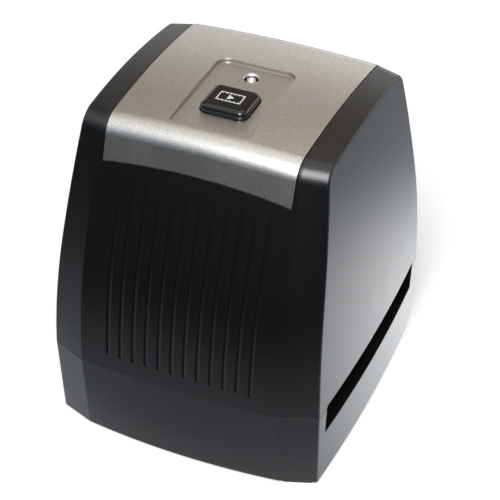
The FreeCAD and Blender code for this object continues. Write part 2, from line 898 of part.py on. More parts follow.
def make_switch_body():
    half = switch_wide / 2
    body = plate(half, half, board_z + board_thick, switch_z, 0, button_back)
    low = switch_z - plunger_sunk - button_travel - plunger_spare
    bore = post(plunger_wide + 2 * running_gap, low, switch_z + overrun, 0, button_back)
    return body.cut(bore)


def make_switch_plunger():
    low = switch_z - plunger_sunk
    return post(plunger_wide, low, switch_z + plunger_proud, 0, button_back)


def make_button_board():
    top = board_z + board_thick
    board = block(-board_half, board_half, board_y0, board_y1, board_z, top)
    for x, y in board_posts():
        board = board.cut(post(screw_wide + 2 * screw_gap, board_z - overrun, top + overrun, x, y))
    for side in (-1, 1):
        x = side * lead_pitch / 2
        board = board.cut(post(lead_wide + 2 * screw_gap, board_z - overrun, top + overrun, x, indicator_y))
    return board


def make_button_board_screws():
    one = screw(screw_wide, screw_head, board_screw_long)
    return group([moved(one, vec(x, y, board_z)) for x, y in board_posts()])


def make_status_led():
    """Clear indicator with a dome, a rim at its foot and two wire leads."""
    top = pocket_floor(indicator_y) + indicator_proud
    radius = indicator_wide / 2
    low = top - indicator_tall
    body = post(indicator_wide, low, top - radius, 0, indicator_y)
    dome = Part.makeSphere(radius, vec(0, indicator_y, top - radius))
    rim = post(indicator_rim, low, low + indicator_foot, 0, indicator_y)
    leads = []
    for side in (-1, 1):
        leads.append(post(lead_wide, board_z, low + indicator_foot / 2, side * lead_pitch / 2, indicator_y))
    return fuse(body, [dome, rim] + leads)


# Film tray, its cover and the click stop

def window(z0, z1):
    return plate(window_long / 2, window_wide / 2, z0, z1)


def make_film_tray():
    outer = slot_half + touch_gap + tray_wall
    inner = slot_half + touch_gap
    tray = plate(tray_half, outer, tray_low, cover_low - touch_gap)
    tray = tray.cut(plate(tray_half + overrun, inner, tray_top, cover_low))
    tray = tray.cut(window(tray_low - overrun, tray_top + overrun))
    barrel = post(stop_barrel, stop_seat_z + touch_gap, tray_low + tray_floor / 2, 0, stop_y)
    tray = fuse(tray, [barrel])
    tray = tray.cut(post(stop_body + 2 * running_gap, stop_seat_z - overrun, tray_low, 0, stop_y))
    return tray.cut(post(stop_nose + 2 * running_gap, tray_low - overrun, tray_top + overrun, 0, stop_y))


def make_film_cover():
    cover = plate(cover_half, cover_reach, cover_low, cover_top)
    lugs = [plate(lug_half, lug_reach, cover_low, cover_top, x) for x in (-gate_post_x, gate_post_x)]
    cover = fuse(cover, lugs)
    cover = cover.cut(window(cover_low - overrun, cover_top + overrun))
    low = cover_low - overrun
    high = cover_top + overrun
    for x, y in four(gate_post_x, gate_post_y):
        cover = cover.cut(post(gate_screw_wide + 2 * screw_gap, low, high, x, y))
    for x, y in four(tower_screw_x, tower_screw_y):
        cover = cover.cut(post(screw_wide + 2 * screw_gap, low, high, x, y))
    x0 = light_cable_x - light_cable_wide / 2 - gate_cable_gap
    x1 = -gate_post_x - lug_half
    return cover.cut(block(x0, x1, main_back, beyond, low, high))


def make_gate_screws():
    one = screw(gate_screw_wide, gate_screw_head, gate_screw_long)
    down = vec(0, 0, -1)
    return group([moved(one, vec(x, y, cover_top), down) for x, y in four(gate_post_x, gate_post_y)])


def make_stop_plunger():
    """Round-nosed pin that clicks into the film holder."""
    radius = stop_nose / 2
    top = tray_top + stop_proud
    shoulder = tray_low - touch_gap
    nose = post(stop_nose, shoulder - stop_body_long, top - radius, 0, stop_y)
    tip = Part.makeSphere(radius, vec(0, stop_y, top - radius))
    body = post(stop_body, shoulder - stop_body_long, shoulder, 0, stop_y)
    tail = post(stop_tail, shoulder - stop_body_long - stop_tail_long, shoulder, 0, stop_y)
    return fuse(nose, [tip, body, tail])


def biarc(p0, t0, p1, t1):
    """Two arcs that leave one point and reach the next along given directions."""
    v = p1 - p0
    total = t0 + t1
    a = 2 * (t0.dot(t1) - 1)
    b = -2 * v.dot(total)
    c = v.dot(v)
    d = (-b - math.sqrt(b * b - 4 * a * c)) / (2 * a)
    q0 = p0 + t0 * d
    q1 = p1 - t1 * d
    join = (q0 + q1) * 0.5
    return [bent(p0, q0, join), bent(join, q1, p1)]


def bent(a, corner, b):
    """Arc from a to b whose end tangents meet at a corner."""
    middle = (a + b) * 0.5
    angle = math.acos((b - a).Length / 2 / (corner - a).Length)
    share = math.tan(angle / 2) / math.tan(angle)
    return arc(a, middle + (corner - middle) * share, b)


def least_gap(path):
    """Least free distance between the turns, measured on points along the wire."""
    places = path.discretize(Number=int(spring_turns * turn_points) + 1)
    apart = turn_points // 2
    least = beyond
    for k, p in enumerate(places):
        for q in places[k + apart:]:
            least = min(least, p.distanceToPoint(q))
    return least - spring_wire


def make_stop_spring():
    """Compression spring under the click stop's pin."""
    radius = spring_mean / 2
    z0 = stop_seat_z + touch_gap + spring_wire / 2
    z1 = tray_low - 2 * touch_gap - stop_body_long - spring_wire / 2
    steps = int(round(spring_turns * 4))
    climb = (z1 - z0) / (steps * math.pi / 2)
    points = []
    tangents = []
    for k in range(steps + 1):
        a = k * math.pi / 2
        points.append(vec(radius * math.cos(a), stop_y + radius * math.sin(a), z0 + climb * a))
        t = vec(-radius * math.sin(a), radius * math.cos(a), climb)
        tangents.append(t.normalize())
    edges = []
    for k in range(steps):
        edges += biarc(points[k], tangents[k], points[k + 1], tangents[k + 1])
    path = Part.Wire(edges)
    circle = Part.Wire(Part.makeCircle(spring_wire / 2, points[0], tangents[0]))
    print("spring gap between turns, mm:", round(least_gap(path), 2))
    return path.makePipeShell([circle], True, False)


# Light under the film

def make_light_box():
    low = floor_z
    high = tray_low - touch_gap
    box = plate(box_half, box_wide / 2, low, high)
    inner_x = box_half - box_wall
    inner_y = box_wide / 2 - box_wall
    box = box.cut(plate(inner_x, inner_y, high - diffuser_thick, high + overrun))
    ledge = diffuser_ledge
    box = box.cut(plate(inner_x - ledge, inner_y - ledge, low + box_wall, high))
    notch = light_cable_wide / 2 + touch_gap * 2
    z = light_cable_z
    half = cable_notch_tall / 2
    return box.cut(block(light_cable_x - notch, light_cable_x + notch, 0, box_wide, z - half, z + half))


def make_diffuser():
    high = tray_low - touch_gap
    half_x = box_half - box_wall - touch_gap
    half_y = box_wide / 2 - box_wall - touch_gap
    return plate(half_x, half_y, high - diffuser_thick, high)


def make_backlight_board():
    half_x = box_half - box_wall - diffuser_ledge - touch_gap
    half_y = box_wide / 2 - box_wall - diffuser_ledge - touch_gap
    low = floor_z + box_wall
    return plate(half_x, half_y, low, low + light_board_thick)


def make_backlight_leds():
    low = floor_z + box_wall + light_board_thick
    chips = []
    for column in range(light_columns):
        for row in range(light_rows):
            x = (column - (light_columns - 1) / 2) * light_pitch_x
            y = (row - (light_rows - 1) / 2) * light_pitch_y
            chips.append(plate(light_chip / 2, light_chip / 2, low, low + light_chip_tall, x, y))
    return group(chips)


# Optics

def taper(half_x0, half_y0, z0, half_x1, half_y1, z1):
    """Four-sided body that narrows upwards."""
    wires = []
    for hx, hy, z in ((half_x0, half_y0, z0), (half_x1, half_y1, z1)):
        corners = [vec(-hx, -hy, z), vec(hx, -hy, z), vec(hx, hy, z), vec(-hx, hy, z)]
        wires.append(Part.makePolygon(corners + corners[:1]))
    return Part.makeLoft(wires, True, True)


def make_optical_tower():
    foot_x = flange_long / 2 - tower_rim
    foot_y = flange_wide / 2 - tower_rim
    top = tower_top / 2
    low = cover_top
    flange = plate(flange_long / 2, flange_wide / 2, low, low + tower_flange)
    body = taper(foot_x, foot_y, low, top, top, deck_low)
    deck = plate(holder_ear / 2, holder_wide / 2 + deck_rim, deck_low, deck_top)
    tower = fuse(flange, [body, deck])
    w = tower_wall
    hollow = taper(foot_x - w, foot_y - w, low, top - w, top - w, deck_low)
    tower = tower.cut(hollow)
    tower = tower.cut(plate(window_long / 2, window_wide / 2, low - overrun, low + overrun))
    tower = tower.cut(post(barrel_wide + 2 * deck_hole_gap, deck_low - overrun, deck_top + overrun))
    for x, y in four(tower_screw_x, tower_screw_y):
        hole = post(screw_wide + 2 * screw_gap, low - overrun, low + tower_flange + overrun, x, y)
        seat = post(screw_head + 4 * screw_gap, low + tower_flange, deck_low, x, y)
        tower = tower.cut(hole).cut(seat)
    for side in (-1, 1):
        x = side * sensor_screw_x
        tower = tower.cut(post(screw_wide + 2 * screw_gap, deck_low - overrun, deck_top + overrun, x))
    return tower


def make_tower_screws():
    one = screw(screw_wide, screw_head, tower_flange + tower_screw_bite)
    seat = cover_top + tower_flange
    down = vec(0, 0, -1)
    return group([moved(one, vec(x, y, seat), down) for x, y in four(tower_screw_x, tower_screw_y)])


def make_lens_holder():
    high = deck_top + holder_tall
    body = plate(holder_wide / 2, holder_wide / 2, deck_top, high)
    ears = plate(holder_ear / 2, holder_ear_wide / 2, deck_top, high)
    holder = fuse(body, [ears])
    cell_z = high - holder_cell_tall
    holder = holder.cut(post(barrel_wide + 2 * running_gap, deck_top - overrun, cell_z))
    holder = holder.cut(post(barrel_bore, deck_top, high))
    holder = holder.cut(plate(holder_cell_long / 2, holder_cell_wide / 2, cell_z, high + overrun))
    for side in (-1, 1):
        x = side * sensor_screw_x
        holder = holder.cut(post(screw_wide + 2 * screw_gap, deck_top - overrun, high + overrun, x))
    return holder


def make_lens_barrel():
    low = deck_top - barrel_drop
    barrel = post(barrel_wide, low, low + barrel_tall)
    barrel = barrel.cut(post(barrel_bore, low + barrel_lip, low + barrel_tall + overrun))
    clear = post(barrel_bore - 2 * barrel_lip, low - overrun, low + barrel_tall)
    rib_z = low + barrel_lip + front_lens_thick + touch_gap
    rib = post(barrel_wide - barrel_lip, rib_z, rib_z + barrel_step)
    return fuse(barrel, [rib]).cut(clear)


def lens(middle, thick):
    """Lens bulged on both faces, in the barrel's bore."""
    radius = barrel_bore / 2 - running_gap
    sag = (thick - lens_edge) / 2
    ball = (radius ** 2 + sag ** 2) / (2 * sag)
    blank = post(2 * radius, middle - thick, middle + thick)
    upper = Part.makeSphere(ball, vec(0, 0, middle + thick / 2 - ball))
    lower = Part.makeSphere(ball, vec(0, 0, middle - thick / 2 + ball))
    return blank.common(upper).common(lower)


def make_front_lens():
    low = deck_top - barrel_drop + barrel_lip
    return lens(low + touch_gap / 2 + front_lens_thick / 2, front_lens_thick)


def make_rear_lens():
    low = deck_top - barrel_drop + barrel_lip + front_lens_thick + touch_gap + barrel_step
    return lens(low + touch_gap / 2 + rear_lens_thick / 2, rear_lens_thick)


def make_infrared_filter():
    low = sensor_board_z - holder_cell_tall
    half_x = holder_cell_long / 2 - filter_gap
    half_y = holder_cell_wide / 2 - filter_gap
    return plate(half_x, half_y, low, low + filter_thick)


def make_image_sensor():
    half_x = holder_cell_long / 2 - sensor_gap
    half_y = holder_cell_wide / 2 - sensor_gap
    return plate(half_x, half_y, sensor_board_z - sensor_thick, sensor_board_z)


def make_sensor_board():
    high = sensor_board_z + sensor_board_thick
    board = plate(sensor_board_half, sensor_board_reach, sensor_board_z, high)
    for side in (-1, 1):
        x = side * sensor_screw_x
        board = board.cut(post(screw_wide + 2 * screw_gap, sensor_board_z - overrun, high + overrun, x))
    return board


def make_sensor_screws():
    one = screw(screw_wide, screw_head, sensor_screw_long)
    seat = sensor_board_z + sensor_board_thick
    return group([moved(one, vec(side * sensor_screw_x, 0, seat), vec(0, 0, -1)) for side in (-1, 1)])


# Main board and what it carries

def make_main_board():
    front = main_back - main_thick
    low = seam_z + main_lift
    board = block(-main_half, main_half, front, main_back, low, low + main_tall)
    for x, z in main_posts():
        board = board.cut(rod(screw_wide + 2 * screw_gap, front - overrun, main_back + overrun, x, z))
    return board


def make_main_board_screws():
    one = screw(screw_wide, screw_head, main_screw_long)
    front = main_back - main_thick
    return group([moved(one, vec(x, front, z), vec(0, 1, 0)) for x, z in main_posts()])


def on_main_board(half_x, tall, thick, x_share, z_share):
    """Flat component on the front of the main board, placed by shares of the board."""
    front = main_back - main_thick
    x = main_half * x_share
    z = seam_z + main_lift + main_tall * z_share
    return block(x - half_x, x + half_x, front - thick, front, z - tall / 2, z + tall / 2)


def make_image_processor():
    half = processor_wide / 2
    return on_main_board(half, processor_wide, processor_thick, *processor_shares)


def make_memory_chip():
    return on_main_board(memory_long / 2, memory_wide, memory_thick, *memory_shares)


def make_crystal():
    return on_main_board(crystal_long / 2, crystal_wide, crystal_thick, *crystal_shares)


def make_capacitors():
    front = main_back - main_thick
    z = seam_z + main_lift + main_tall * capacitor_shares[1]
    cans = []
    for k in range(capacitor_count):
        x = main_half * capacitor_shares[0] + k * capacitor_pitch
        cans.append(rod(capacitor_wide, front - capacitor_tall, front, x, z))
    return group(cans)


def make_computer_socket():
    """Small rectangular socket shell, with its tongue and a block at the board."""
    z = socket_spot()
    half_x = socket_wide / 2
    half_z = socket_tall / 2
    far = main_back + socket_long
    body = block(-half_x, half_x, main_back, far, z - half_z, z + half_z)
    s = socket_skin
    inner = far - socket_deep
    mouth = block(s - half_x, half_x - s, inner, far + overrun, z - half_z + s, z + half_z - s)
    half_w = socket_tongue_wide / 2
    half_t = socket_tongue_thick / 2
    tongue = block(-half_w, half_w, inner - s, far - s, z - half_t, z + half_t)
    return fuse(body.cut(mouth), [tongue])


# Flat cables and their plugs

def flat_cable(points, wide, x, bends):
    """Ribbon along a route in (y, z): straight runs joined by arcs of the given radii."""
    nodes = [vec(x, y, z) for y, z in points]
    edges = []
    start = nodes[0]
    for k in range(1, len(nodes) - 1):
        a = (nodes[k - 1] - nodes[k]).normalize()
        b = (nodes[k + 1] - nodes[k]).normalize()
        half = math.acos(a.dot(b)) / 2
        bend = bends[k - 1]
        cut = bend / math.tan(half)
        enter = nodes[k] + a * cut
        leave = nodes[k] + b * cut
        inner = (a + b).normalize()
        centre = nodes[k] + inner * (bend / math.sin(half))
        edges.append(line(start, enter))
        edges.append(arc(enter, centre - inner * bend, leave))
        start = leave
    edges.append(line(start, nodes[-1]))
    along = (nodes[1] - nodes[0]).normalize()
    across = vec(wide / 2, 0, 0)
    up = across.cross(along).normalize() * (cable_thick / 2)
    low = nodes[0]
    corners = [low - across - up, low + across - up, low + across + up, low - across + up]
    section = Part.makePolygon(corners + corners[:1])
    cable = Part.Wire(edges).makePipeShell([section], True, False)
    return cable if cable.Volume > 0 else cable.reversed()


def plug(cable, y0, y1, z0, z1):
    """Block that a flat cable, given by its place and width, runs into."""
    x, wide = cable
    half = wide / 2 + plug_rim
    return block(x - half, x + half, y0, y1, z0, z1)


def make_cable_plugs():
    front = main_back - main_thick
    low = seam_z + main_lift
    high = low + main_tall
    sensor_top = sensor_board_z + sensor_board_thick
    light_top = floor_z + box_wall + light_board_thick
    sensor = (sensor_cable_x, sensor_cable_wide)
    button = (button_cable_x, button_cable_wide)
    light = (light_cable_x, light_cable_wide)
    reach = sensor_board_reach
    y = light_plug_y
    return group([
        plug(sensor, reach - plug_deep, reach, sensor_top, sensor_top + plug_tall),
        plug(sensor, front - plug_tall, front, high - plug_deep, high),
        plug(button, board_y1 - plug_deep, board_y1, board_z - plug_tall, board_z),
        plug(button, front - plug_tall, front, high - plug_deep, high),
        plug(light, y, y + plug_deep, light_top, light_top + plug_tall),
        plug(light, main_back, main_back + plug_tall, low, low + plug_deep),
    ])


def make_sensor_cable():
    y0 = sensor_board_reach + touch_gap
    z0 = sensor_board_z + sensor_board_thick + plug_tall / 2
    y1 = main_back - main_thick - plug_tall / 2
    z1 = seam_z + main_lift + main_tall + touch_gap
    route = [(y0, z0), (y0 + 2 * cable_bend, z0), (y1, z1 + 2 * cable_bend), (y1, z1)]
    return flat_cable(route, sensor_cable_wide, sensor_cable_x, [cable_bend, cable_bend])


def make_button_cable():
    y0 = board_y1 + touch_gap
    z0 = board_z - plug_tall / 2
    y1 = main_back - main_thick - plug_tall / 2
    z1 = seam_z + main_lift + main_tall + touch_gap
    route = [(y0, z0), (y0 + 3 * cable_bend, z0), (y1, z1 + 2 * cable_bend), (y1, z1)]
    return flat_cable(route, button_cable_wide, button_cable_x, [cable_bend, cable_bend])


def make_light_cable():
    y0 = main_back + plug_tall / 2
    z0 = seam_z + main_lift - touch_gap
    y1 = light_plug_y + plug_deep + touch_gap
    z1 = light_cable_z
    z2 = z0 - fold_run
    far = cover_reach + light_cable_set
    knee = z2 - knee_share * (far - y0)
    route = [(y0, z0), (y0, z2), (far, knee), (far, z1), (y1, z1)]
    return flat_cable(route, light_cable_wide, light_cable_x, [cable_fold, cable_bend, cable_bend])


pieces = {
    "upper_shell": make_upper_shell,
    "base_housing": make_base_housing,
    "rubber_feet": make_rubber_feet,
    "housing_screws": make_housing_screws,
    "top_panel": make_top_panel,
    "scan_button": make_scan_button,
    "switch_body": make_switch_body,
    "switch_plunger": make_switch_plunger,
    "button_board": make_button_board,
    "button_board_screws": make_button_board_screws,
    "status_led": make_status_led,
    "film_tray": make_film_tray,
    "film_cover": make_film_cover,
    "gate_screws": make_gate_screws,
    "stop_plunger": make_stop_plunger,
    "stop_spring": make_stop_spring,
    "light_box": make_light_box,
    "diffuser": make_diffuser,
    "backlight_board": make_backlight_board,
    "backlight_leds": make_backlight_leds,
    "optical_tower": make_optical_tower,
    "tower_screws": make_tower_screws,
    "lens_holder": make_lens_holder,
    "lens_barrel": make_lens_barrel,
    "front_lens": make_front_lens,
    "rear_lens": make_rear_lens,
    "infrared_filter": make_infrared_filter,
    "image_sensor": make_image_sensor,
    "sensor_board": make_sensor_board,
    "sensor_screws": make_sensor_screws,
    "main_board": make_main_board,
    "main_board_screws": make_main_board_screws,
    "image_processor": make_image_processor,
    "memory_chip": make_memory_chip,
    "crystal": make_crystal,
    "capacitors": make_capacitors,
    "computer_socket": make_computer_socket,
    "cable_plugs": make_cable_plugs,
    "sensor_cable": make_sensor_cable,
    "button_cable": make_button_cable,
    "light_cable": make_light_cable,
}

for name, make in pieces.items():
    save(name, make())
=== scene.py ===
import bmesh
import bpy
import math
from mathutils import Matrix, Vector


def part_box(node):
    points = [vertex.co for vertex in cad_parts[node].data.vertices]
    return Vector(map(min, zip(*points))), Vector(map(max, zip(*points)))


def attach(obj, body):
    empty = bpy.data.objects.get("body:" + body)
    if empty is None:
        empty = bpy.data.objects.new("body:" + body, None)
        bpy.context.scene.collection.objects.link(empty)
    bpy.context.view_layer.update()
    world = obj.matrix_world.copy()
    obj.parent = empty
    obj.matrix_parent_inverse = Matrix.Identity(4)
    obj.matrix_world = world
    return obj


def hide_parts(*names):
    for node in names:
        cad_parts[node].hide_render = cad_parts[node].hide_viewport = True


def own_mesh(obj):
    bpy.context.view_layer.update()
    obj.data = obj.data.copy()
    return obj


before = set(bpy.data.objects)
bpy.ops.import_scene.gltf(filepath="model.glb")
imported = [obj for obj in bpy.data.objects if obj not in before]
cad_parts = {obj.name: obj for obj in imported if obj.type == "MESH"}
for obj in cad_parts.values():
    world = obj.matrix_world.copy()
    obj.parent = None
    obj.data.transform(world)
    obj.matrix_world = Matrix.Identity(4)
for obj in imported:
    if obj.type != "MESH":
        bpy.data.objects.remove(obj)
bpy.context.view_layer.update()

# Metres in a millimetre. Small sizes are typed in millimetres.
MM = 0.001

# Inputs of a mix node, whose names repeat: its share, its two numbers and its two colours
SHARE = 0
NUMBER_A = 2
NUMBER_B = 3
SHADE_A = 6
SHADE_B = 7


def colour(code):
    """sRGB hex value as linear colour."""
    parts = [int(code[k:k + 2], 16) / 255 for k in (1, 3, 5)]
    return [c / 12.92 if c <= 0.04045 else ((c + 0.055) / 1.055) ** 2.4 for c in parts] + [1.0]


def per(size_mm):
    """Scale of a pattern whose features are this many millimetres across."""
    return 1 / (size_mm * MM)


def fed_by(value):
    """What goes into a socket. A node stands for its first output in use."""
    if isinstance(value, bpy.types.Node):
        return next(output for output in value.outputs if output.enabled)
    return value


def add(tree, kind, inputs=None, stops=(), **settings):
    """Adds a node with its settings. An input is a value, or the node or output that feeds it."""
    made = tree.nodes.new(kind)
    for name, value in settings.items():
        setattr(made, name, value)
    for k, (at, shade) in enumerate(stops):
        points = made.color_ramp.elements
        point = points[k] if k < 2 else points.new(at)
        point.position = at
        point.color = colour(shade)
    for socket, value in (inputs or {}).items():
        value = fed_by(value)
        if isinstance(value, bpy.types.NodeSocket):
            tree.links.new(value, made.inputs[socket])
        else:
            made.inputs[socket].default_value = value
    return made


def new_finish(name, **surface):
    """Finish with the numbers of its shader set, and the piece's own coordinates."""
    finish = bpy.data.materials.new(name)
    finish.use_nodes = True
    tree = finish.node_tree
    shader = tree.nodes["Principled BSDF"]
    for socket, value in surface.items():
        shader.inputs[socket.replace("_", " ")].default_value = value
    place = add(tree, "ShaderNodeTexCoord").outputs["Object"]
    return finish, tree, shader, place


def feed(tree, shader, tone, rough, height=None, deep_mm=0.0, strength=0.0, edge_mm=0.0):
    """Joins a pattern to a shader's colour, roughness and relief. The edges look rounded by edge_mm."""
    sockets = {"Base Color": tone, "Roughness": rough}
    if edge_mm:
        sockets["Normal"] = add(tree, "ShaderNodeBevel", {"Radius": edge_mm * MM}, samples=6)
    if height is not None:
        relief = {"Height": height, "Strength": strength, "Distance": deep_mm * MM}
        if edge_mm:
            relief["Normal"] = sockets["Normal"]
        sockets["Normal"] = add(tree, "ShaderNodeBump", relief)
    for socket, value in sockets.items():
        tree.links.new(fed_by(value), shader.inputs[socket])


def mottle(tree, shader, place, size_mm, detail, shades, rough_from, rough_to, deep_mm=0.0, strength=0.0):
    """Feeds a shader's colour and roughness from one cloudy pattern, and its relief where it is deep."""
    cloud = add(tree, "ShaderNodeTexNoise", {"Vector": place, "Scale": per(size_mm), "Detail": detail})
    tone = add(tree, "ShaderNodeValToRGB", {"Fac": cloud}, stops=shades)
    rough = add(tree, "ShaderNodeMapRange", {"Value": cloud, "To Min": rough_from, "To Max": rough_to})
    feed(tree, shader, tone, rough, cloud if deep_mm else None, deep_mm, strength)


# Plastics and rubber

def spark_eroded_abs():
    """ABS from a spark-eroded mould: satin black, with a fine even grain that breaks up highlights."""
    finish, tree, shader, place = new_finish(
        "abs_black_spark_eroded", IOR=1.53, Sheen_Weight=0.04, Sheen_Roughness=0.35)
    # The real grain is near 0.1 mm. It is drawn at 0.3 to 0.4 mm, so that it shows.
    grain_mm = 0.32
    pit_mm = 0.42
    flow_mm = 26.0
    grain = add(tree, "ShaderNodeTexNoise", {
        "Vector": place, "Scale": per(grain_mm), "Detail": 3.0, "Roughness": 0.6})
    pits = add(tree, "ShaderNodeTexVoronoi", {"Vector": place, "Scale": per(pit_mm)})
    flow = add(tree, "ShaderNodeTexNoise", {"Vector": place, "Scale": per(flow_mm), "Detail": 2.0})
    both = add(tree, "ShaderNodeMath", {0: grain, 1: flow}, operation="ADD")
    half = add(tree, "ShaderNodeMath", {0: both, 1: 0.5}, operation="MULTIPLY")
    shades = [(0.3, "#050506"), (0.52, "#08080a"), (0.75, "#0d0d0f")]
    tone = add(tree, "ShaderNodeValToRGB", {"Fac": half}, stops=shades)
    rough = add(tree, "ShaderNodeMapRange", {"Value": grain, "To Min": 0.27, "To Max": 0.37})
    height = add(tree, "ShaderNodeMath", {0: grain, 1: pits}, operation="ADD")
    feed(tree, shader, tone, rough, height, deep_mm=0.03, strength=0.34, edge_mm=0.22)
    return finish


def matt_polycarbonate():
    """Polycarbonate round the film and the optics: matt and dark, so that stray light dies in it."""
    finish, tree, shader, place = new_finish("polycarbonate_black_matt", IOR=1.58)
    shades = [(0.35, "#2b2520"), (0.7, "#3f372f")]
    mottle(tree, shader, place, size_mm=0.5, detail=4.0, shades=shades, rough_from=0.5, rough_to=0.68,
           deep_mm=0.05, strength=0.2)
    return finish


def moulded_rubber():
    """Compression-moulded rubber feet: dull black with a faint dusty bloom that spreads highlights."""
    finish, tree, shader, place = new_finish("rubber_black_moulded", IOR=1.52)
    bloom_mm = 3.0
    grain_mm = 0.25
    bloom = add(tree, "ShaderNodeTexNoise", {"Vector": place, "Scale": per(bloom_mm), "Detail": 5.0})
    grain = add(tree, "ShaderNodeTexNoise", {"Vector": place, "Scale": per(grain_mm), "Detail": 2.0})
    shades = [(0.4, "#141415"), (0.65, "#262627")]
    tone = add(tree, "ShaderNodeValToRGB", {"Fac": bloom}, stops=shades)
    rough = add(tree, "ShaderNodeMapRange", {"Value": bloom, "To Min": 0.62, "To Max": 0.85})
    feed(tree, shader, tone, rough, grain, deep_mm=0.03, strength=0.3)
    return finish


def moulded_plastic(name, dark, light, rough_from, rough_to, size_mm):
    """Moulded engineering plastic, with the faint mottling of its filler and a soft gloss."""
    finish, tree, shader, place = new_finish(name, IOR=1.53)
    mottle(tree, shader, place, size_mm, detail=4.0, shades=[(0.35, dark), (0.68, light)],
           rough_from=rough_from, rough_to=rough_to, deep_mm=0.02, strength=0.15)
    return finish


# Paint and print

def metallic_paint():
    """Sprayed grey metallic paint: fine aluminium flakes that sparkle under a satin clear coat."""
    finish, tree, shader, place = new_finish(
        "paint_silver_grey_metallic", Metallic=1.0, Coat_Weight=0.08, Coat_Roughness=0.2)
    # The real flakes are near 0.03 mm. They are drawn at 0.14 mm, so that they just show.
    flake_mm = 0.14
    spray_mm = 9.0
    corner_mm = 1.0
    flakes = add(tree, "ShaderNodeTexVoronoi", {"Vector": place, "Scale": per(flake_mm)})
    spray = add(tree, "ShaderNodeTexNoise", {"Vector": place, "Scale": per(spray_mm), "Detail": 2.0})
    flake = add(tree, "ShaderNodeSeparateColor", {"Color": flakes.outputs["Color"]})
    shades = [(0.0, "#aeaca8"), (0.55, "#bfbdb9"), (0.93, "#cac8c4"), (1.0, "#f0eeea")]
    tone = add(tree, "ShaderNodeValToRGB", {"Fac": flake}, stops=shades)
    rough = add(tree, "ShaderNodeMapRange", {"Value": spray, "To Min": 0.33, "To Max": 0.38})
    # Spray dries before it settles in a corner, so the paint is dull there. Painted shade also makes it
    # darker near corners.
    corner = add(tree, "ShaderNodeAmbientOcclusion", {"Distance": corner_mm * MM},
                 samples=8, only_local=True)
    corner_shade_and_dull = add(tree, "ShaderNodeMapRange", {
        "Value": corner.outputs["AO"], "From Min": 0.55, "From Max": 0.97, "To Min": 1.0, "To Max": 0.0})
    dull = add(tree, "ShaderNodeMix", {SHARE: corner_shade_and_dull, NUMBER_A: rough, NUMBER_B: 0.62})
    # Painted shade: the paint colour turns darker near corners.
    shade = add(tree, "ShaderNodeMix", {SHARE: corner_shade_and_dull, SHADE_A: tone, SHADE_B: colour("#8a8074")},
                data_type="RGBA")
    feed(tree, shader, shade, dull, flake.outputs["Green"], deep_mm=0.004, strength=0.3, edge_mm=0.12)
    return finish


def within(tree, off_x, off_y, half_x, half_y):
    """1 inside a rectangle of these half sizes, 0 outside it, from the distances off its middle lines."""
    wide = add(tree, "ShaderNodeMath", {0: off_x, 1: half_x * MM}, operation="LESS_THAN")
    tall = add(tree, "ShaderNodeMath", {0: off_y, 1: half_y * MM}, operation="LESS_THAN")
    return add(tree, "ShaderNodeMath", {0: wide, 1: tall}, operation="MULTIPLY")


def ink_on_button(tree, place):
    """1 where the button is printed: a film frame with holes along its long sides, and a pointer in it."""
    half_x = 3.7
    half_y = 2.3
    line = 0.35
    hole_tall = 0.33
    half_pitch = 0.6
    half_hole = 0.24
    # The holes are counted from a point this far out to the left.
    count_from = 9.0
    pointer_tip = 1.1
    pointer_tail = -0.8
    pointer_slope = 1.5
    pointer_half_x = 3.0
    pointer_half_y = 1.25
    # Only what lies this close to the top face is printed.
    skin = 0.05
    low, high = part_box("scan_button")
    middle = (low + high) / 2
    moved = add(tree, "ShaderNodeMapping", {"Vector": place, "Location": (-middle.x, -middle.y, 0.0)})
    x, y, z = add(tree, "ShaderNodeSeparateXYZ", {"Vector": moved}).outputs
    off_x = add(tree, "ShaderNodeMath", {0: x}, operation="ABSOLUTE")
    off_y = add(tree, "ShaderNodeMath", {0: y}, operation="ABSOLUTE")
    outside = within(tree, off_x, off_y, half_x, half_y)
    opening = within(tree, off_x, off_y, half_x - line, half_y - line)
    picture = within(tree, off_x, off_y, half_x - line, half_y - line - hole_tall)
    border = add(tree, "ShaderNodeMath", {0: outside, 1: opening}, operation="SUBTRACT")
    along = add(tree, "ShaderNodeMath", {0: x, 1: count_from * MM}, operation="ADD")
    wave = add(tree, "ShaderNodeMath", {0: along, 1: half_pitch * MM}, operation="PINGPONG")
    holes = add(tree, "ShaderNodeMath", {0: wave, 1: half_hole * MM}, operation="LESS_THAN")
    bands = add(tree, "ShaderNodeMath", {0: opening, 1: picture}, operation="SUBTRACT")
    strip = add(tree, "ShaderNodeMath", {0: bands, 1: holes}, operation="MULTIPLY")
    slant = add(tree, "ShaderNodeMath", {0: off_y, 1: pointer_slope, 2: x}, operation="MULTIPLY_ADD")
    tip = add(tree, "ShaderNodeMath", {0: slant, 1: pointer_tip * MM}, operation="LESS_THAN")
    tail = add(tree, "ShaderNodeMath", {0: x, 1: pointer_tail * MM}, operation="GREATER_THAN")
    wedge = add(tree, "ShaderNodeMath", {0: tip, 1: tail}, operation="MULTIPLY")
    room = within(tree, off_x, off_y, pointer_half_x, pointer_half_y)
    pointer = add(tree, "ShaderNodeMath", {0: wedge, 1: room}, operation="MULTIPLY")
    film = add(tree, "ShaderNodeMath", {0: border, 1: strip}, operation="MAXIMUM")
    marks = add(tree, "ShaderNodeMath", {0: film, 1: pointer}, operation="MAXIMUM")
    top = add(tree, "ShaderNodeMath", {0: z, 1: high.z - skin * MM}, operation="GREATER_THAN")
    return add(tree, "ShaderNodeMath", {0: marks, 1: top}, operation="MULTIPLY")


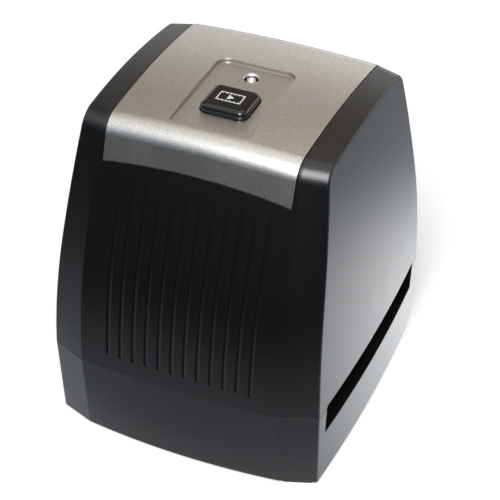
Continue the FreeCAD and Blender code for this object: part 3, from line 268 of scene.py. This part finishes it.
def polished_abs_with_print():
    """Button cap of ABS from a polished mould: deep gloss black, with a print in duller white ink."""
    finish, tree, shader, place = new_finish("abs_black_polished_printed", IOR=1.53)
    ink = ink_on_button(tree, place)
    wear_mm = 4.0
    wear = add(tree, "ShaderNodeTexNoise", {"Vector": place, "Scale": per(wear_mm), "Detail": 4.0})
    shades = [(0.3, "#08080a"), (0.7, "#0e0e10")]
    tone = add(tree, "ShaderNodeValToRGB", {"Fac": wear}, stops=shades)
    paint = add(tree, "ShaderNodeMix", {SHARE: ink, SHADE_A: tone, SHADE_B: colour("#dcdcd8")},
                data_type="RGBA")
    rough = add(tree, "ShaderNodeMapRange", {"Value": wear, "To Min": 0.05, "To Max": 0.12})
    dull = add(tree, "ShaderNodeMath", {0: ink, 1: 0.3, 2: rough}, operation="MULTIPLY_ADD")
    feed(tree, shader, paint, dull, edge_mm=0.1)
    return finish


# Metals

def zinc_plated_steel():
    """Screws of cold-formed steel with bright zinc: cool grey, with the spangle of the plating."""
    finish, tree, shader, place = new_finish("steel_zinc_plated", Metallic=1.0)
    spangle_mm = 0.35
    cloud_mm = 1.2
    spangle = add(tree, "ShaderNodeTexVoronoi", {"Vector": place, "Scale": per(spangle_mm)})
    cloud = add(tree, "ShaderNodeTexNoise", {"Vector": place, "Scale": per(cloud_mm), "Detail": 4.0})
    shades = [(0.3, "#a7abad"), (0.7, "#c6cbcf")]
    tone = add(tree, "ShaderNodeValToRGB", {"Fac": cloud}, stops=shades)
    rough = add(tree, "ShaderNodeMapRange", {"Value": cloud, "To Min": 0.22, "To Max": 0.42})
    feed(tree, shader, tone, rough, spangle, deep_mm=0.01, strength=0.2)
    return finish


def drawn_spring_wire():
    """Cold-drawn stainless wire: bright grey, with a fine broken sheen left by the drawing die."""
    finish, tree, shader, place = new_finish("steel_stainless_drawn", Metallic=1.0)
    shades = [(0.3, "#9c9a97"), (0.7, "#c2c0bc")]
    mottle(tree, shader, place, size_mm=0.12, detail=3.0, shades=shades, rough_from=0.2, rough_to=0.36,
           deep_mm=0.004, strength=0.2)
    return finish


def drawn_can():
    """Deep-drawn cans and the socket's folded shell: satin nickel grey with fine lines along the draw."""
    finish, tree, shader, place = new_finish("can_metal_drawn_satin", Metallic=1.0)
    line_mm = 0.14
    line_share = 0.12
    cloud_mm = 2.5
    drawn = add(tree, "ShaderNodeMapping", {"Vector": place, "Scale": (1.0, line_share, 1.0)})
    lines = add(tree, "ShaderNodeTexNoise", {"Vector": drawn, "Scale": per(line_mm), "Detail": 3.0})
    cloud = add(tree, "ShaderNodeTexNoise", {"Vector": place, "Scale": per(cloud_mm), "Detail": 3.0})
    shades = [(0.3, "#a9a8a4"), (0.7, "#cfcdc8")]
    tone = add(tree, "ShaderNodeValToRGB", {"Fac": cloud}, stops=shades)
    rough = add(tree, "ShaderNodeMapRange", {"Value": lines, "To Min": 0.24, "To Max": 0.42})
    feed(tree, shader, tone, rough, lines, deep_mm=0.006, strength=0.25)
    return finish


def plated_copper(name, dark, light):
    """Leads and contacts of stamped copper alloy under a thin plate: bright, with a soft cloudy blur."""
    finish, tree, shader, place = new_finish(name, Metallic=1.0)
    mottle(tree, shader, place, size_mm=0.4, detail=4.0, shades=[(0.3, dark), (0.7, light)],
           rough_from=0.3, rough_to=0.48, deep_mm=0.01, strength=0.15)
    return finish


# Electronics

def board_laminate():
    """Glass-epoxy board under green solder mask: tracks stand up under the lacquer and look paler."""
    finish, tree, shader, place = new_finish(
        "board_glass_epoxy_green_mask", IOR=1.54, Coat_Weight=0.35, Coat_Roughness=0.18)
    weave_mm = 0.5
    # A brick pattern in millimetres, whose mortar stands for the tracks
    tracks = add(tree, "ShaderNodeTexBrick", {
        "Vector": place, "Scale": per(1.0), "Mortar Size": 0.14, "Mortar Smooth": 0.3,
        "Brick Width": 5.2, "Row Height": 1.3,
        "Color1": colour("#123f26"), "Color2": colour("#174c2d"), "Mortar": colour("#2c6d45")}, offset=0.37)
    weave = add(tree, "ShaderNodeTexNoise", {"Vector": place, "Scale": per(weave_mm), "Detail": 2.0})
    tint = add(tree, "ShaderNodeMix", {SHARE: weave, SHADE_A: tracks, SHADE_B: colour("#1b5233")},
               data_type="RGBA")
    rough = add(tree, "ShaderNodeMapRange", {"Value": weave, "To Min": 0.26, "To Max": 0.4})
    feed(tree, shader, tint, rough, tracks.outputs["Fac"], deep_mm=0.03, strength=0.4)
    return finish


def moulding_compound():
    """Transfer-moulded epoxy of the chips: charcoal with a fine gritty filler and a matt top."""
    finish, tree, shader, place = new_finish("epoxy_charcoal_moulded", IOR=1.56)
    shades = [(0.35, "#17181a"), (0.7, "#2a2b2d")]
    mottle(tree, shader, place, size_mm=0.12, detail=3.0, shades=shades, rough_from=0.45, rough_to=0.62,
           deep_mm=0.02, strength=0.35)
    return finish


def clear_epoxy():
    """Cast clear epoxy of the indicator: it bends the view like a lens, with a slight smoky tint."""
    finish, tree, shader, place = new_finish("epoxy_water_clear_cast", IOR=1.54, Transmission_Weight=0.95)
    shades = [(0.35, "#e6e8e8"), (0.7, "#f4f5f4")]
    mottle(tree, shader, place, size_mm=1.5, detail=2.0, shades=shades, rough_from=0.02, rough_to=0.07)
    return finish


def phosphor():
    """Yellow phosphor in silicone over the lamp chips: a saturated, slightly waxy yellow."""
    finish, tree, shader, place = new_finish(
        "silicone_yellow_phosphor", IOR=1.42, Subsurface_Weight=0.2, Subsurface_Scale=0.4 * MM)
    shades = [(0.3, "#c99a10"), (0.7, "#e8bf2c")]
    mottle(tree, shader, place, size_mm=0.2, detail=3.0, shades=shades, rough_from=0.25, rough_to=0.4,
           deep_mm=0.02, strength=0.2)
    return finish


def flat_cable_film():
    """Laminated flat cable: white polyester over copper strips that show as faint darker stripes."""
    finish, tree, shader, place = new_finish("polyester_flat_cable", IOR=1.6)
    half_pitch = 0.5 * MM
    haze_mm = 2.0
    spot = add(tree, "ShaderNodeSeparateXYZ", {"Vector": place})
    stripe = add(tree, "ShaderNodeMath", {0: spot.outputs["X"], 1: half_pitch}, operation="PINGPONG")
    level = add(tree, "ShaderNodeMapRange", {"Value": stripe, "From Max": half_pitch})
    shades = [(0.35, "#d9d8d2"), (0.6, "#efeeea")]
    tone = add(tree, "ShaderNodeValToRGB", {"Fac": level}, stops=shades)
    haze = add(tree, "ShaderNodeTexNoise", {"Vector": place, "Scale": per(haze_mm), "Detail": 3.0})
    rough = add(tree, "ShaderNodeMapRange", {"Value": haze, "To Min": 0.28, "To Max": 0.4})
    feed(tree, shader, tone, rough, level, deep_mm=0.03, strength=0.4)
    return finish


# Light and lens pieces

def opal_acrylic():
    """Opal acrylic sheet over the lamps: milky white, soft to the eye because light spreads inside it."""
    finish, tree, shader, place = new_finish(
        "acrylic_opal_cast", IOR=1.49, Subsurface_Weight=0.5, Subsurface_Scale=1.5 * MM)
    shades = [(0.3, "#e4e6e4"), (0.7, "#f0f1ee")]
    mottle(tree, shader, place, size_mm=6.0, detail=3.0, shades=shades, rough_from=0.3, rough_to=0.42)
    return finish


def coated_glass():
    """Polished crown glass with a magnesium fluoride coat: clear, with a faint violet cast at a slant."""
    finish, tree, shader, place = new_finish("glass_crown_coated", IOR=1.52, Transmission_Weight=1.0)
    drift_mm = 4.0
    slant = add(tree, "ShaderNodeLayerWeight", {"Blend": 0.4})
    drift = add(tree, "ShaderNodeTexNoise", {"Vector": place, "Scale": per(drift_mm), "Detail": 2.0})
    cast = add(tree, "ShaderNodeMath", {0: slant.outputs["Facing"], 1: drift}, operation="MULTIPLY")
    shades = [(0.0, "#f3f6f4"), (0.5, "#dcd3ee")]
    tone = add(tree, "ShaderNodeValToRGB", {"Fac": cast}, stops=shades)
    rough = add(tree, "ShaderNodeMapRange", {"Value": drift, "To Min": 0.005, "To Max": 0.03})
    feed(tree, shader, tone, rough)
    return finish


finishes = {
    "black_shell": spark_eroded_abs(),
    "foot_rubber": moulded_rubber(),
    "screw_steel": zinc_plated_steel(),
    "panel_paint": metallic_paint(),
    "button_black": polished_abs_with_print(),
    "switch_plastic": moulded_plastic("nylon_black_glass_filled", "#111113", "#1e1e20",
                                      rough_from=0.34, rough_to=0.5, size_mm=0.4),
    "plunger_plastic": moulded_plastic("acetal_natural_moulded", "#dcdad2", "#ebe9e2",
                                       rough_from=0.22, rough_to=0.34, size_mm=2.5),
    "circuit_board": board_laminate(),
    "clear_lens": clear_epoxy(),
    "inner_black": matt_polycarbonate(),
    "spring_steel": drawn_spring_wire(),
    "white_plastic": moulded_plastic("polycarbonate_white_reflector", "#dfe0dc", "#ecece8",
                                     rough_from=0.42, rough_to=0.55, size_mm=3.0),
    "diffuser_plastic": opal_acrylic(),
    "led_yellow": phosphor(),
    "lens_glass": coated_glass(),
    "chip_black": moulding_compound(),
    "can_metal": drawn_can(),
    "plug_white": moulded_plastic("nylon_natural_moulded", "#dcd8c8", "#e9e6d9",
                                  rough_from=0.3, rough_to=0.42, size_mm=1.5),
    "ribbon_white": flat_cable_film(),
}
tin = plated_copper("copper_alloy_tinned", "#b1afa9", "#d2d0ca")
gilt = plated_copper("copper_alloy_gold_flashed", "#b8913f", "#d9b566")
silver = plated_copper("copper_alloy_silvered", "#cfcfcc", "#ecebe7")

# Each piece comes from the frame with one material, named for its slot.
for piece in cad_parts.values():
    piece.data.materials[0] = finishes[piece.data.materials[0].name]


# Pieces with a shape of their own

def shown(name, mesh, body, slot, finish=None):
    """A finished piece: smooth between its sharp edges, on its body and in its finish."""
    sharp = math.radians(38)
    mesh.shade_smooth()
    mesh.set_sharp_from_angle(angle=sharp)
    piece = bpy.data.objects.new(name, mesh)
    bpy.context.scene.collection.objects.link(piece)
    mesh.materials.clear()
    mesh.materials.append(finish or finishes[slot])
    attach(piece, body)
    return piece


def as_mesh(name, shape):
    """Mesh of a closed shape, with its faces turned outwards."""
    bmesh.ops.recalc_face_normals(shape, faces=shape.faces)
    mesh = bpy.data.meshes.new(name)
    shape.to_mesh(mesh)
    shape.free()
    return mesh


def turned(name, profile, x, y, steps=48):
    """Closed mesh of a profile turned round an upright axis. Its points are (radius, height) in mm."""
    shape = bmesh.new()
    rings = []
    for radius, height in profile:
        ring = []
        for k in range(steps if radius else 1):
            angle = 2 * math.pi * k / steps
            at = Vector((x + radius * math.cos(angle), y + radius * math.sin(angle), height))
            ring.append(shape.verts.new(at * MM))
        rings.append(ring)
    # A ring of one point meets every face of its neighbour, so a corner may come twice.
    for low, high in zip(rings, rings[1:]):
        for k in range(steps):
            here = (low[k % len(low)], high[k % len(high)])
            after = (low[(k + 1) % len(low)], high[(k + 1) % len(high)])
            corners = [here[0], after[0], after[1], here[1]]
            shape.faces.new(list(dict.fromkeys(corners)))
    return as_mesh(name, shape)


def swept_strip(name, lower, upper, wide):
    """Closed strip between a lower and an upper line of (out, up) points, this wide across. All in mm."""
    half = wide / 2
    shape = bmesh.new()
    rows = []
    for below, above in zip(lower, upper):
        corners = [(-half, *below), (half, *below), (half, *above), (-half, *above)]
        rows.append([shape.verts.new(Vector(corner) * MM) for corner in corners])
    for here, after in zip(rows, rows[1:]):
        for k in range(4):
            shape.faces.new([here[k], here[(k + 1) % 4], after[(k + 1) % 4], after[k]])
    shape.faces.new(rows[0])
    shape.faces.new(rows[-1][::-1])
    return as_mesh(name, shape)


def new_nodes(name, inputs):
    """Empty Geometry Nodes tree with its named inputs and its one output."""
    tree = bpy.data.node_groups.new(name, "GeometryNodeTree")
    for label, kind in inputs:
        tree.interface.new_socket(label, in_out="INPUT", socket_type=kind)
    tree.interface.new_socket("Geometry", in_out="OUTPUT", socket_type="NodeSocketGeometry")
    return tree, add(tree, "NodeGroupInput").outputs


def close_nodes(tree, geometry, material):
    """Ends a tree in plain geometry with its material set."""
    plain = add(tree, "GeometryNodeRealizeInstances", {"Geometry": geometry})
    painted = add(tree, "GeometryNodeSetMaterial", {"Geometry": plain, "Material": material})
    add(tree, "NodeGroupOutput", {0: painted})
    return tree


def grown(name, tree, values, place):
    """Plain mesh of a Geometry Nodes tree with these input values, put in its place."""
    carrier = bpy.data.objects.new(name + "_carrier", bpy.data.meshes.new(name + "_carrier"))
    bpy.context.scene.collection.objects.link(carrier)
    grower = carrier.modifiers.new("grower", "NODES")
    grower.node_group = tree
    for item in tree.interface.items_tree:
        if item.in_out == "INPUT":
            grower[item.identifier] = values[item.name]
    depsgraph = bpy.context.evaluated_depsgraph_get()
    mesh = bpy.data.meshes.new_from_object(carrier.evaluated_get(depsgraph))
    bpy.data.objects.remove(carrier)
    mesh.name = name
    mesh.transform(place)
    return mesh


def row_of_leads():
    """Rows of one lead, turned evenly round the middle of a chip."""
    tree, given = new_nodes("row_of_leads", [
        ("Lead", "NodeSocketObject"), ("Count", "NodeSocketInt"), ("Pitch", "NodeSocketFloat"),
        ("Reach", "NodeSocketFloat"), ("Rows", "NodeSocketInt"), ("Finish", "NodeSocketMaterial")])
    lead = add(tree, "GeometryNodeObjectInfo", {"Object": given["Lead"]})
    gaps = add(tree, "ShaderNodeMath", {0: given["Count"], 1: 1.0}, operation="SUBTRACT")
    span = add(tree, "ShaderNodeMath", {0: gaps, 1: given["Pitch"]}, operation="MULTIPLY")
    first = add(tree, "ShaderNodeMath", {0: span, 1: -0.5}, operation="MULTIPLY")
    begin = add(tree, "ShaderNodeCombineXYZ", {"X": first, "Y": given["Reach"]})
    step = add(tree, "ShaderNodeCombineXYZ", {"X": given["Pitch"]})
    line = add(tree, "GeometryNodeMeshLine", {
        "Count": given["Count"], "Start Location": begin, "Offset": step})
    row = add(tree, "GeometryNodeInstanceOnPoints", {"Points": line, "Instance": lead.outputs["Geometry"]})
    whole = add(tree, "GeometryNodeRealizeInstances", {"Geometry": row})
    sides = add(tree, "GeometryNodeMeshLine", {"Count": given["Rows"], "Offset": (0.0, 0.0, 0.0)})
    each = add(tree, "ShaderNodeMath", {0: math.tau, 1: given["Rows"]}, operation="DIVIDE")
    index = add(tree, "GeometryNodeInputIndex")
    angle = add(tree, "ShaderNodeMath", {0: index, 1: each}, operation="MULTIPLY")
    axis = add(tree, "ShaderNodeCombineXYZ", {"Z": angle})
    turn = add(tree, "FunctionNodeEulerToRotation", {0: axis})
    rows = add(tree, "GeometryNodeInstanceOnPoints", {
        "Points": sides, "Instance": whole, "Rotation": turn})
    return close_nodes(tree, rows, given["Finish"])


def coil_spring():
    """Round wire wound into an open coil of even pitch."""
    tree, given = new_nodes("coil_spring", [
        ("Radius", "NodeSocketFloat"), ("Tall", "NodeSocketFloat"), ("Turns", "NodeSocketFloat"),
        ("Wire", "NodeSocketFloat"), ("Finish", "NodeSocketMaterial")])
    line = add(tree, "GeometryNodeCurveSpiral", {
        "Resolution": 40, "Rotations": given["Turns"], "Start Radius": given["Radius"],
        "End Radius": given["Radius"], "Height": given["Tall"]})
    half = add(tree, "ShaderNodeMath", {0: given["Wire"], 1: 0.5}, operation="MULTIPLY")
    section = add(tree, "GeometryNodeCurvePrimitiveCircle", {"Resolution": 16, "Radius": half})
    wire = add(tree, "GeometryNodeCurveToMesh", {
        "Curve": line, "Profile Curve": section, "Fill Caps": True})
    return close_nodes(tree, wire, given["Finish"])


def chip_leads():
    """Gull-wing leads of the two chips, from the chip's side down to the board."""
    rooted = 0.1
    rise = 0.55
    thick = 0.13
    knee = 0.22
    ankle = 0.38
    bend = 0.08
    toe = 0.95
    lead_wide = 0.24
    pitch = 0.5 * MM
    lower = [(-rooted, rise), (knee, rise), (ankle, 0.0), (toe, 0.0)]
    upper = [(-rooted, rise + thick), (knee + bend, rise + thick), (ankle + bend, thick), (toe, thick)]
    lead = bpy.data.objects.new("lead", swept_strip("lead", lower, upper, lead_wide))
    bpy.context.scene.collection.objects.link(lead)
    tree = row_of_leads()
    # Of each chip: its rows, the bare length at a row's end in mm, and the axis that the first row follows
    for name, rows, spare, first_axis in (("image_processor", 4, 1.0, 0), ("memory_chip", 2, 0.8, 2)):
        low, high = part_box(name)
        middle = (low + high) / 2
        size = high - low
        reach = size[2 - first_axis] / 2
        count = int((size[first_axis] - 2 * spare * MM) / pitch) + 1
        values = {
            "Lead": lead, "Count": count, "Pitch": pitch, "Reach": reach, "Rows": rows, "Finish": tin}
        # The board's face looks to the front, so the rows lie upright and the leads point to the back.
        stand = Matrix.Rotation(math.radians(90), 4, "X")
        if first_axis:
            stand = stand @ Matrix.Rotation(math.radians(90), 4, "Z")
        place = Matrix.Translation((middle.x, high.y, middle.z)) @ stand
        shown(name + "_leads", grown(name + "_leads", tree, values, place), "housing", "can_metal", tin)
    bpy.data.objects.remove(lead)


def socket_contacts():
    """Five flat contacts on the tongue of the computer socket."""
    thick = 0.06
    up = 0.4
    # Both ends lie inwards of the socket's mouth.
    inner_end = -5.4
    outer_end = -0.7
    contact_wide = 0.42
    pitch = 0.8 * MM
    low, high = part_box("computer_socket")
    middle = (low + high) / 2
    lower = [(inner_end, up), (outer_end, up)]
    upper = [(inner_end, up + thick), (outer_end, up + thick)]
    strip = bpy.data.objects.new("contact", swept_strip("contact", lower, upper, contact_wide))
    bpy.context.scene.collection.objects.link(strip)
    values = {"Lead": strip, "Count": 5, "Pitch": pitch, "Reach": 0.0, "Rows": 1, "Finish": gilt}
    place = Matrix.Translation((middle.x, high.y, middle.z))
    mesh = grown("socket_contacts", row_of_leads(), values, place)
    shown("socket_contacts", mesh, "housing", "can_metal", gilt)
    bpy.data.objects.remove(strip)


def stop_coil():
    """Click stop's spring, wound from round wire, in place of the plain one."""
    wire = 0.35 * MM
    low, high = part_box("stop_spring")
    middle = (low + high) / 2
    tall = high.z - low.z
    radius = (high.x - low.x - wire) / 2
    values = {"Radius": radius, "Tall": tall - wire, "Turns": 3.5, "Wire": wire,
              "Finish": finishes["spring_steel"]}
    place = Matrix.Translation((middle.x, middle.y, low.z + wire / 2))
    coil = shown("stop_coil", grown("stop_coil", coil_spring(), values, place), "housing", "spring_steel")
    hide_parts("stop_spring")
    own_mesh(coil)


def indicator():
    """Clear indicator: its cast body, and inside it the cup, the lamp chip and the two lead posts."""
    low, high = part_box("status_led")
    x = (low.x + high.x) / 2 / MM
    y = (low.y + high.y) / 2 / MM
    top = high.z / MM

    body_tall = 4.6
    dome_radius = 1.5
    flange_tall = 0.9
    flange_edge = 0.1
    flange_radius = (high.x - low.x) / 2 / MM
    foot = top - body_tall
    flange_top = foot + flange_tall
    dome_foot = top - dome_radius
    arc_steps = 10
    dome = [(dome_radius * math.cos(a), dome_foot + dome_radius * math.sin(a))
            for a in [math.radians(90 * k / arc_steps) for k in range(1, arc_steps)]]
    flange = [(0.0, foot), (flange_radius - flange_edge, foot), (flange_radius, foot + flange_edge),
              (flange_radius, flange_top - flange_edge), (flange_radius - flange_edge, flange_top)]
    outline = flange + [(dome_radius, flange_top), (dome_radius, dome_foot)] + dome + [(0.0, top)]
    body = shown("indicator_body", turned("indicator_body", outline, x, y), "housing", "clear_lens")
    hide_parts("status_led")

    cup_under_top = 2.15
    cup_tall = 0.75
    cup_floor = 0.3
    cup_foot = 0.5
    cup_mouth = 0.95
    cup_wall = 0.13
    well = 0.4
    chip_radius = 0.2
    chip_tall = 0.12
    cup_z = top - cup_under_top
    floor_z = cup_z + cup_floor
    brim_z = cup_z + cup_tall
    cup = [(0.0, cup_z), (cup_foot, cup_z), (cup_mouth, brim_z), (cup_mouth - cup_wall, brim_z),
           (well, floor_z), (0.0, floor_z)]
    shown("indicator_cup", turned("indicator_cup", cup, x, y, steps=32), "housing", "can_metal", silver)
    chip_top = floor_z + chip_tall
    chip = [(0.0, floor_z), (chip_radius, floor_z), (chip_radius, chip_top), (0.0, chip_top)]
    shown("indicator_chip", turned("indicator_chip", chip, x, y, steps=4), "housing", "led_yellow")

    post_off = 0.8
    post_half = 0.25
    post_wide = 0.45
    head_tall = 0.3
    head_out = 0.1
    head_in = 0.6
    for label, side, above_cup in (("left", -1, 0.1), ("right", 1, 0.35)):
        end = cup_z + above_cup
        neck = end - head_tall
        lower = [(-post_half, low.z / MM), (-post_half, neck), (-head_in, end)]
        upper = [(post_half, low.z / MM), (post_half, neck), (head_out, end)]
        mesh = swept_strip("indicator_post", lower, upper, post_wide)
        turn = Matrix.Rotation(math.radians(-90 * side), 4, "Z")
        mesh.transform(Matrix.Translation(((x + side * post_off) * MM, y * MM, 0.0)) @ turn)
        shown("indicator_post_" + label, mesh, "housing", "can_metal", tin)


chip_leads()
socket_contacts()
stop_coil()
indicator()


# Floor, light, room and camera

def table():
    """Pale matt table. The camera sees it white far away, with painted shade close to the object. In
    reflections it has a painted glow beside the object and painted shade to the front."""
    half_table = 1.6
    table_back = 0.8
    half_wide = 43 * MM
    half_deep = 47 * MM
    glow_reach = 110 * MM
    glow_power = 2.9
    shade_from = 20 * MM
    shade_to = 500 * MM
    shade_level = 0.34
    mesh = bpy.data.meshes.new("table_sheet")
    shape = bmesh.new()
    bmesh.ops.create_grid(shape, x_segments=8, y_segments=8, size=half_table,
                          matrix=Matrix.Translation((0.0, table_back, 0.0)))
    shape.to_mesh(mesh)
    shape.free()
    sheet = bpy.data.objects.new("table_sheet", mesh)
    bpy.context.scene.collection.objects.link(sheet)
    finish, tree, shader, place = new_finish("paper_white_matt", Roughness=0.9, Specular_IOR_Level=0.0,
                                             Emission_Color=colour("#ffffff"))
    ray = add(tree, "ShaderNodeLightPath")
    mirrored = ray.outputs["Is Glossy Ray"]
    spot = add(tree, "ShaderNodeSeparateXYZ", {"Vector": place})
    x = spot.outputs["X"]
    y = spot.outputs["Y"]
    # Painted shade: in reflections the table turns darker towards the front.
    near = add(tree, "ShaderNodeMapRange", {"Value": y, "From Min": -170 * MM, "From Max": 15 * MM})
    painted_shade_front = add(tree, "ShaderNodeValToRGB", {"Fac": near}, stops=[(0.0, "#1b1d20"), (1.0, "#e9f1f9")])
    tone = add(tree, "ShaderNodeMix", {SHARE: mirrored, SHADE_A: colour("#f6f6f5"), SHADE_B: painted_shade_front},
               data_type="RGBA")
    tree.links.new(fed_by(tone), shader.inputs["Base Color"])

    # How far a point of the table lies from the object's outline
    gaps = []
    for place_along, half in ((x, half_wide), (y, half_deep)):
        off = add(tree, "ShaderNodeMath", {0: place_along}, operation="ABSOLUTE")
        past = add(tree, "ShaderNodeMath", {0: off, 1: half}, operation="SUBTRACT")
        gaps.append(add(tree, "ShaderNodeMath", {0: past, 1: 0.0}, operation="MAXIMUM"))
    square = add(tree, "ShaderNodeMath", {0: gaps[1], 1: gaps[1]}, operation="MULTIPLY")
    squares = add(tree, "ShaderNodeMath", {0: gaps[0], 1: gaps[0], 2: square}, operation="MULTIPLY_ADD")
    away = add(tree, "ShaderNodeMath", {0: squares}, operation="SQRT")

    # Painted light: in reflections only, the table glows beside the object, most towards the back.
    lit = add(tree, "ShaderNodeMapRange", {
        "Value": away, "From Max": glow_reach, "To Min": glow_power, "To Max": 0.0})
    back = add(tree, "ShaderNodeMapRange", {"Value": y, "From Min": -60 * MM, "From Max": 90 * MM})
    beside = add(tree, "ShaderNodeMath", {0: lit, 1: back}, operation="MULTIPLY")
    painted_glow = add(tree, "ShaderNodeMath", {0: beside, 1: mirrored}, operation="MULTIPLY")
    # Painted shade: the camera's white lift on the table is weaker close to the object.
    lift_with_painted_shade = add(tree, "ShaderNodeMapRange", {
        "Value": away, "From Min": shade_from, "From Max": shade_to, "To Min": shade_level, "To Max": 1.0})
    level = add(tree, "ShaderNodeMath", {0: ray.outputs["Is Camera Ray"], 1: lift_with_painted_shade, 2: painted_glow},
                operation="MULTIPLY_ADD")
    tree.links.new(fed_by(level), shader.inputs["Emission Strength"])
    mesh.materials.append(finish)


def softbox(name, at, towards, wide, long, power, tint):
    """Flat rectangular lamp that looks at a point and that the camera doesn't see."""
    data = bpy.data.lights.new(name, "AREA")
    data.shape = "RECTANGLE"
    data.size = wide
    data.size_y = long
    data.energy = power
    data.color = tint
    lamp = bpy.data.objects.new(name, data)
    bpy.context.scene.collection.objects.link(lamp)
    lamp.location = at
    lamp.rotation_euler = (Vector(towards) - Vector(at)).to_track_quat("-Z", "Y").to_euler()
    lamp.visible_camera = False


def studio_room():
    """Room that the object mirrors. The camera sees plain white, and matt surfaces get dim even light."""
    world = bpy.data.worlds.new("studio")
    bpy.context.scene.world = world
    world.use_nodes = True
    sky = world.node_tree
    dim = sky.nodes["Background"]
    dim.inputs["Color"].default_value = colour("#f6f7f8")
    dim.inputs["Strength"].default_value = 0.2
    ray = add(sky, "ShaderNodeLightPath")
    way = add(sky, "ShaderNodeTexCoord").outputs["Generated"]
    # The way of a ray: x to the right, y to the back and z up, each from -1 to 1
    x, y, z = add(sky, "ShaderNodeSeparateXYZ", {"Vector": way}).outputs
    height = add(sky, "ShaderNodeMapRange", {"Value": z, "From Min": -0.3, "From Max": 1.0})
    # Behind the object: a white backdrop up to 20 degrees, a warm dim wall over it and the pale ceiling.
    behind = [(0.0, "#fbfbfb"), (0.5, "#f7f6f4"), (0.58, "#aca497"), (0.64, "#7f7568"), (0.7, "#74695d"),
              (0.79, "#8d8275"), (0.88, "#e6dfd5"), (1.0, "#ffffff")]
    # Before it: the cool dim room under the pale ceiling.
    ahead = [(0.0, "#202225"), (0.2, "#1d2228"), (0.35, "#323a43"), (0.55, "#9aa5b0"), (0.75, "#f4f8fb"),
             (1.0, "#ffffff")]
    backdrop = add(sky, "ShaderNodeValToRGB", {"Fac": height}, stops=behind)
    dim_room = add(sky, "ShaderNodeValToRGB", {"Fac": height}, stops=ahead)
    depth = add(sky, "ShaderNodeMapRange", {"Value": y, "From Min": -0.45, "From Max": 0.3})
    room = add(sky, "ShaderNodeMix", {SHARE: depth, SHADE_A: dim_room, SHADE_B: backdrop}, data_type="RGBA")
    # Behind, the room is brighter on the right. Before the object, a pale wall stands far to the left.
    right = add(sky, "ShaderNodeMapRange", {
        "Value": x, "From Min": -0.55, "From Max": -0.15, "To Min": 0.98, "To Max": 1.75})
    left = add(sky, "ShaderNodeMapRange", {
        "Value": x, "From Min": -0.9, "From Max": -0.4, "To Min": 3.0, "To Max": 1.2})
    gain = add(sky, "ShaderNodeMix", {SHARE: depth, NUMBER_A: left, NUMBER_B: right})
    white = add(sky, "ShaderNodeBackground", {"Color": colour("#ffffff"), "Strength": 1.0})
    mirrored = add(sky, "ShaderNodeBackground", {"Color": room, "Strength": gain})
    shiny = add(sky, "ShaderNodeMixShader", {0: ray.outputs["Is Glossy Ray"], 1: dim, 2: mirrored})
    white_for = add(sky, "ShaderNodeMath", {
        0: ray.outputs["Is Camera Ray"], 1: ray.outputs["Is Transmission Ray"]}, operation="MAXIMUM")
    whole = add(sky, "ShaderNodeMixShader", {0: white_for, 1: shiny, 2: white})
    sky.links.new(fed_by(whole), sky.nodes["World Output"].inputs["Surface"])


def picture_camera():
    """Camera where the fit to the photograph put it."""
    azimuth = math.radians(22.66)
    elevation = math.radians(36.64)
    roll = math.radians(1.19)
    distance_mm = 493.96
    look_at = Vector((2.24, 1.04, 45.24)) * MM
    out_from = Vector((math.sin(azimuth) * math.cos(elevation), -math.cos(azimuth) * math.cos(elevation),
                       math.sin(elevation)))
    lens = bpy.data.cameras.new("camera")
    lens.lens = 117.75
    lens.sensor_width = 36.0
    lens.shift_x = -0.0036
    lens.shift_y = 0.0022
    lens.clip_start = 10 * MM
    camera = bpy.data.objects.new("camera", lens)
    bpy.context.scene.collection.objects.link(camera)
    camera.location = look_at + out_from * distance_mm * MM
    level = (-out_from).to_track_quat("-Z", "Y").to_matrix().to_4x4()
    camera.rotation_euler = (level @ Matrix.Rotation(roll, 4, "Z")).to_euler()
    bpy.context.scene.camera = camera


table()
softbox("softbox_front_right", at=(0.17, -0.6, 0.73), towards=(0.0, 0.0, 0.06), wide=0.42, long=0.5,
        power=9.4, tint=(0.98, 0.99, 1.0))
studio_room()
picture_camera()
bpy.context.scene.view_settings.view_transform = "Standard"
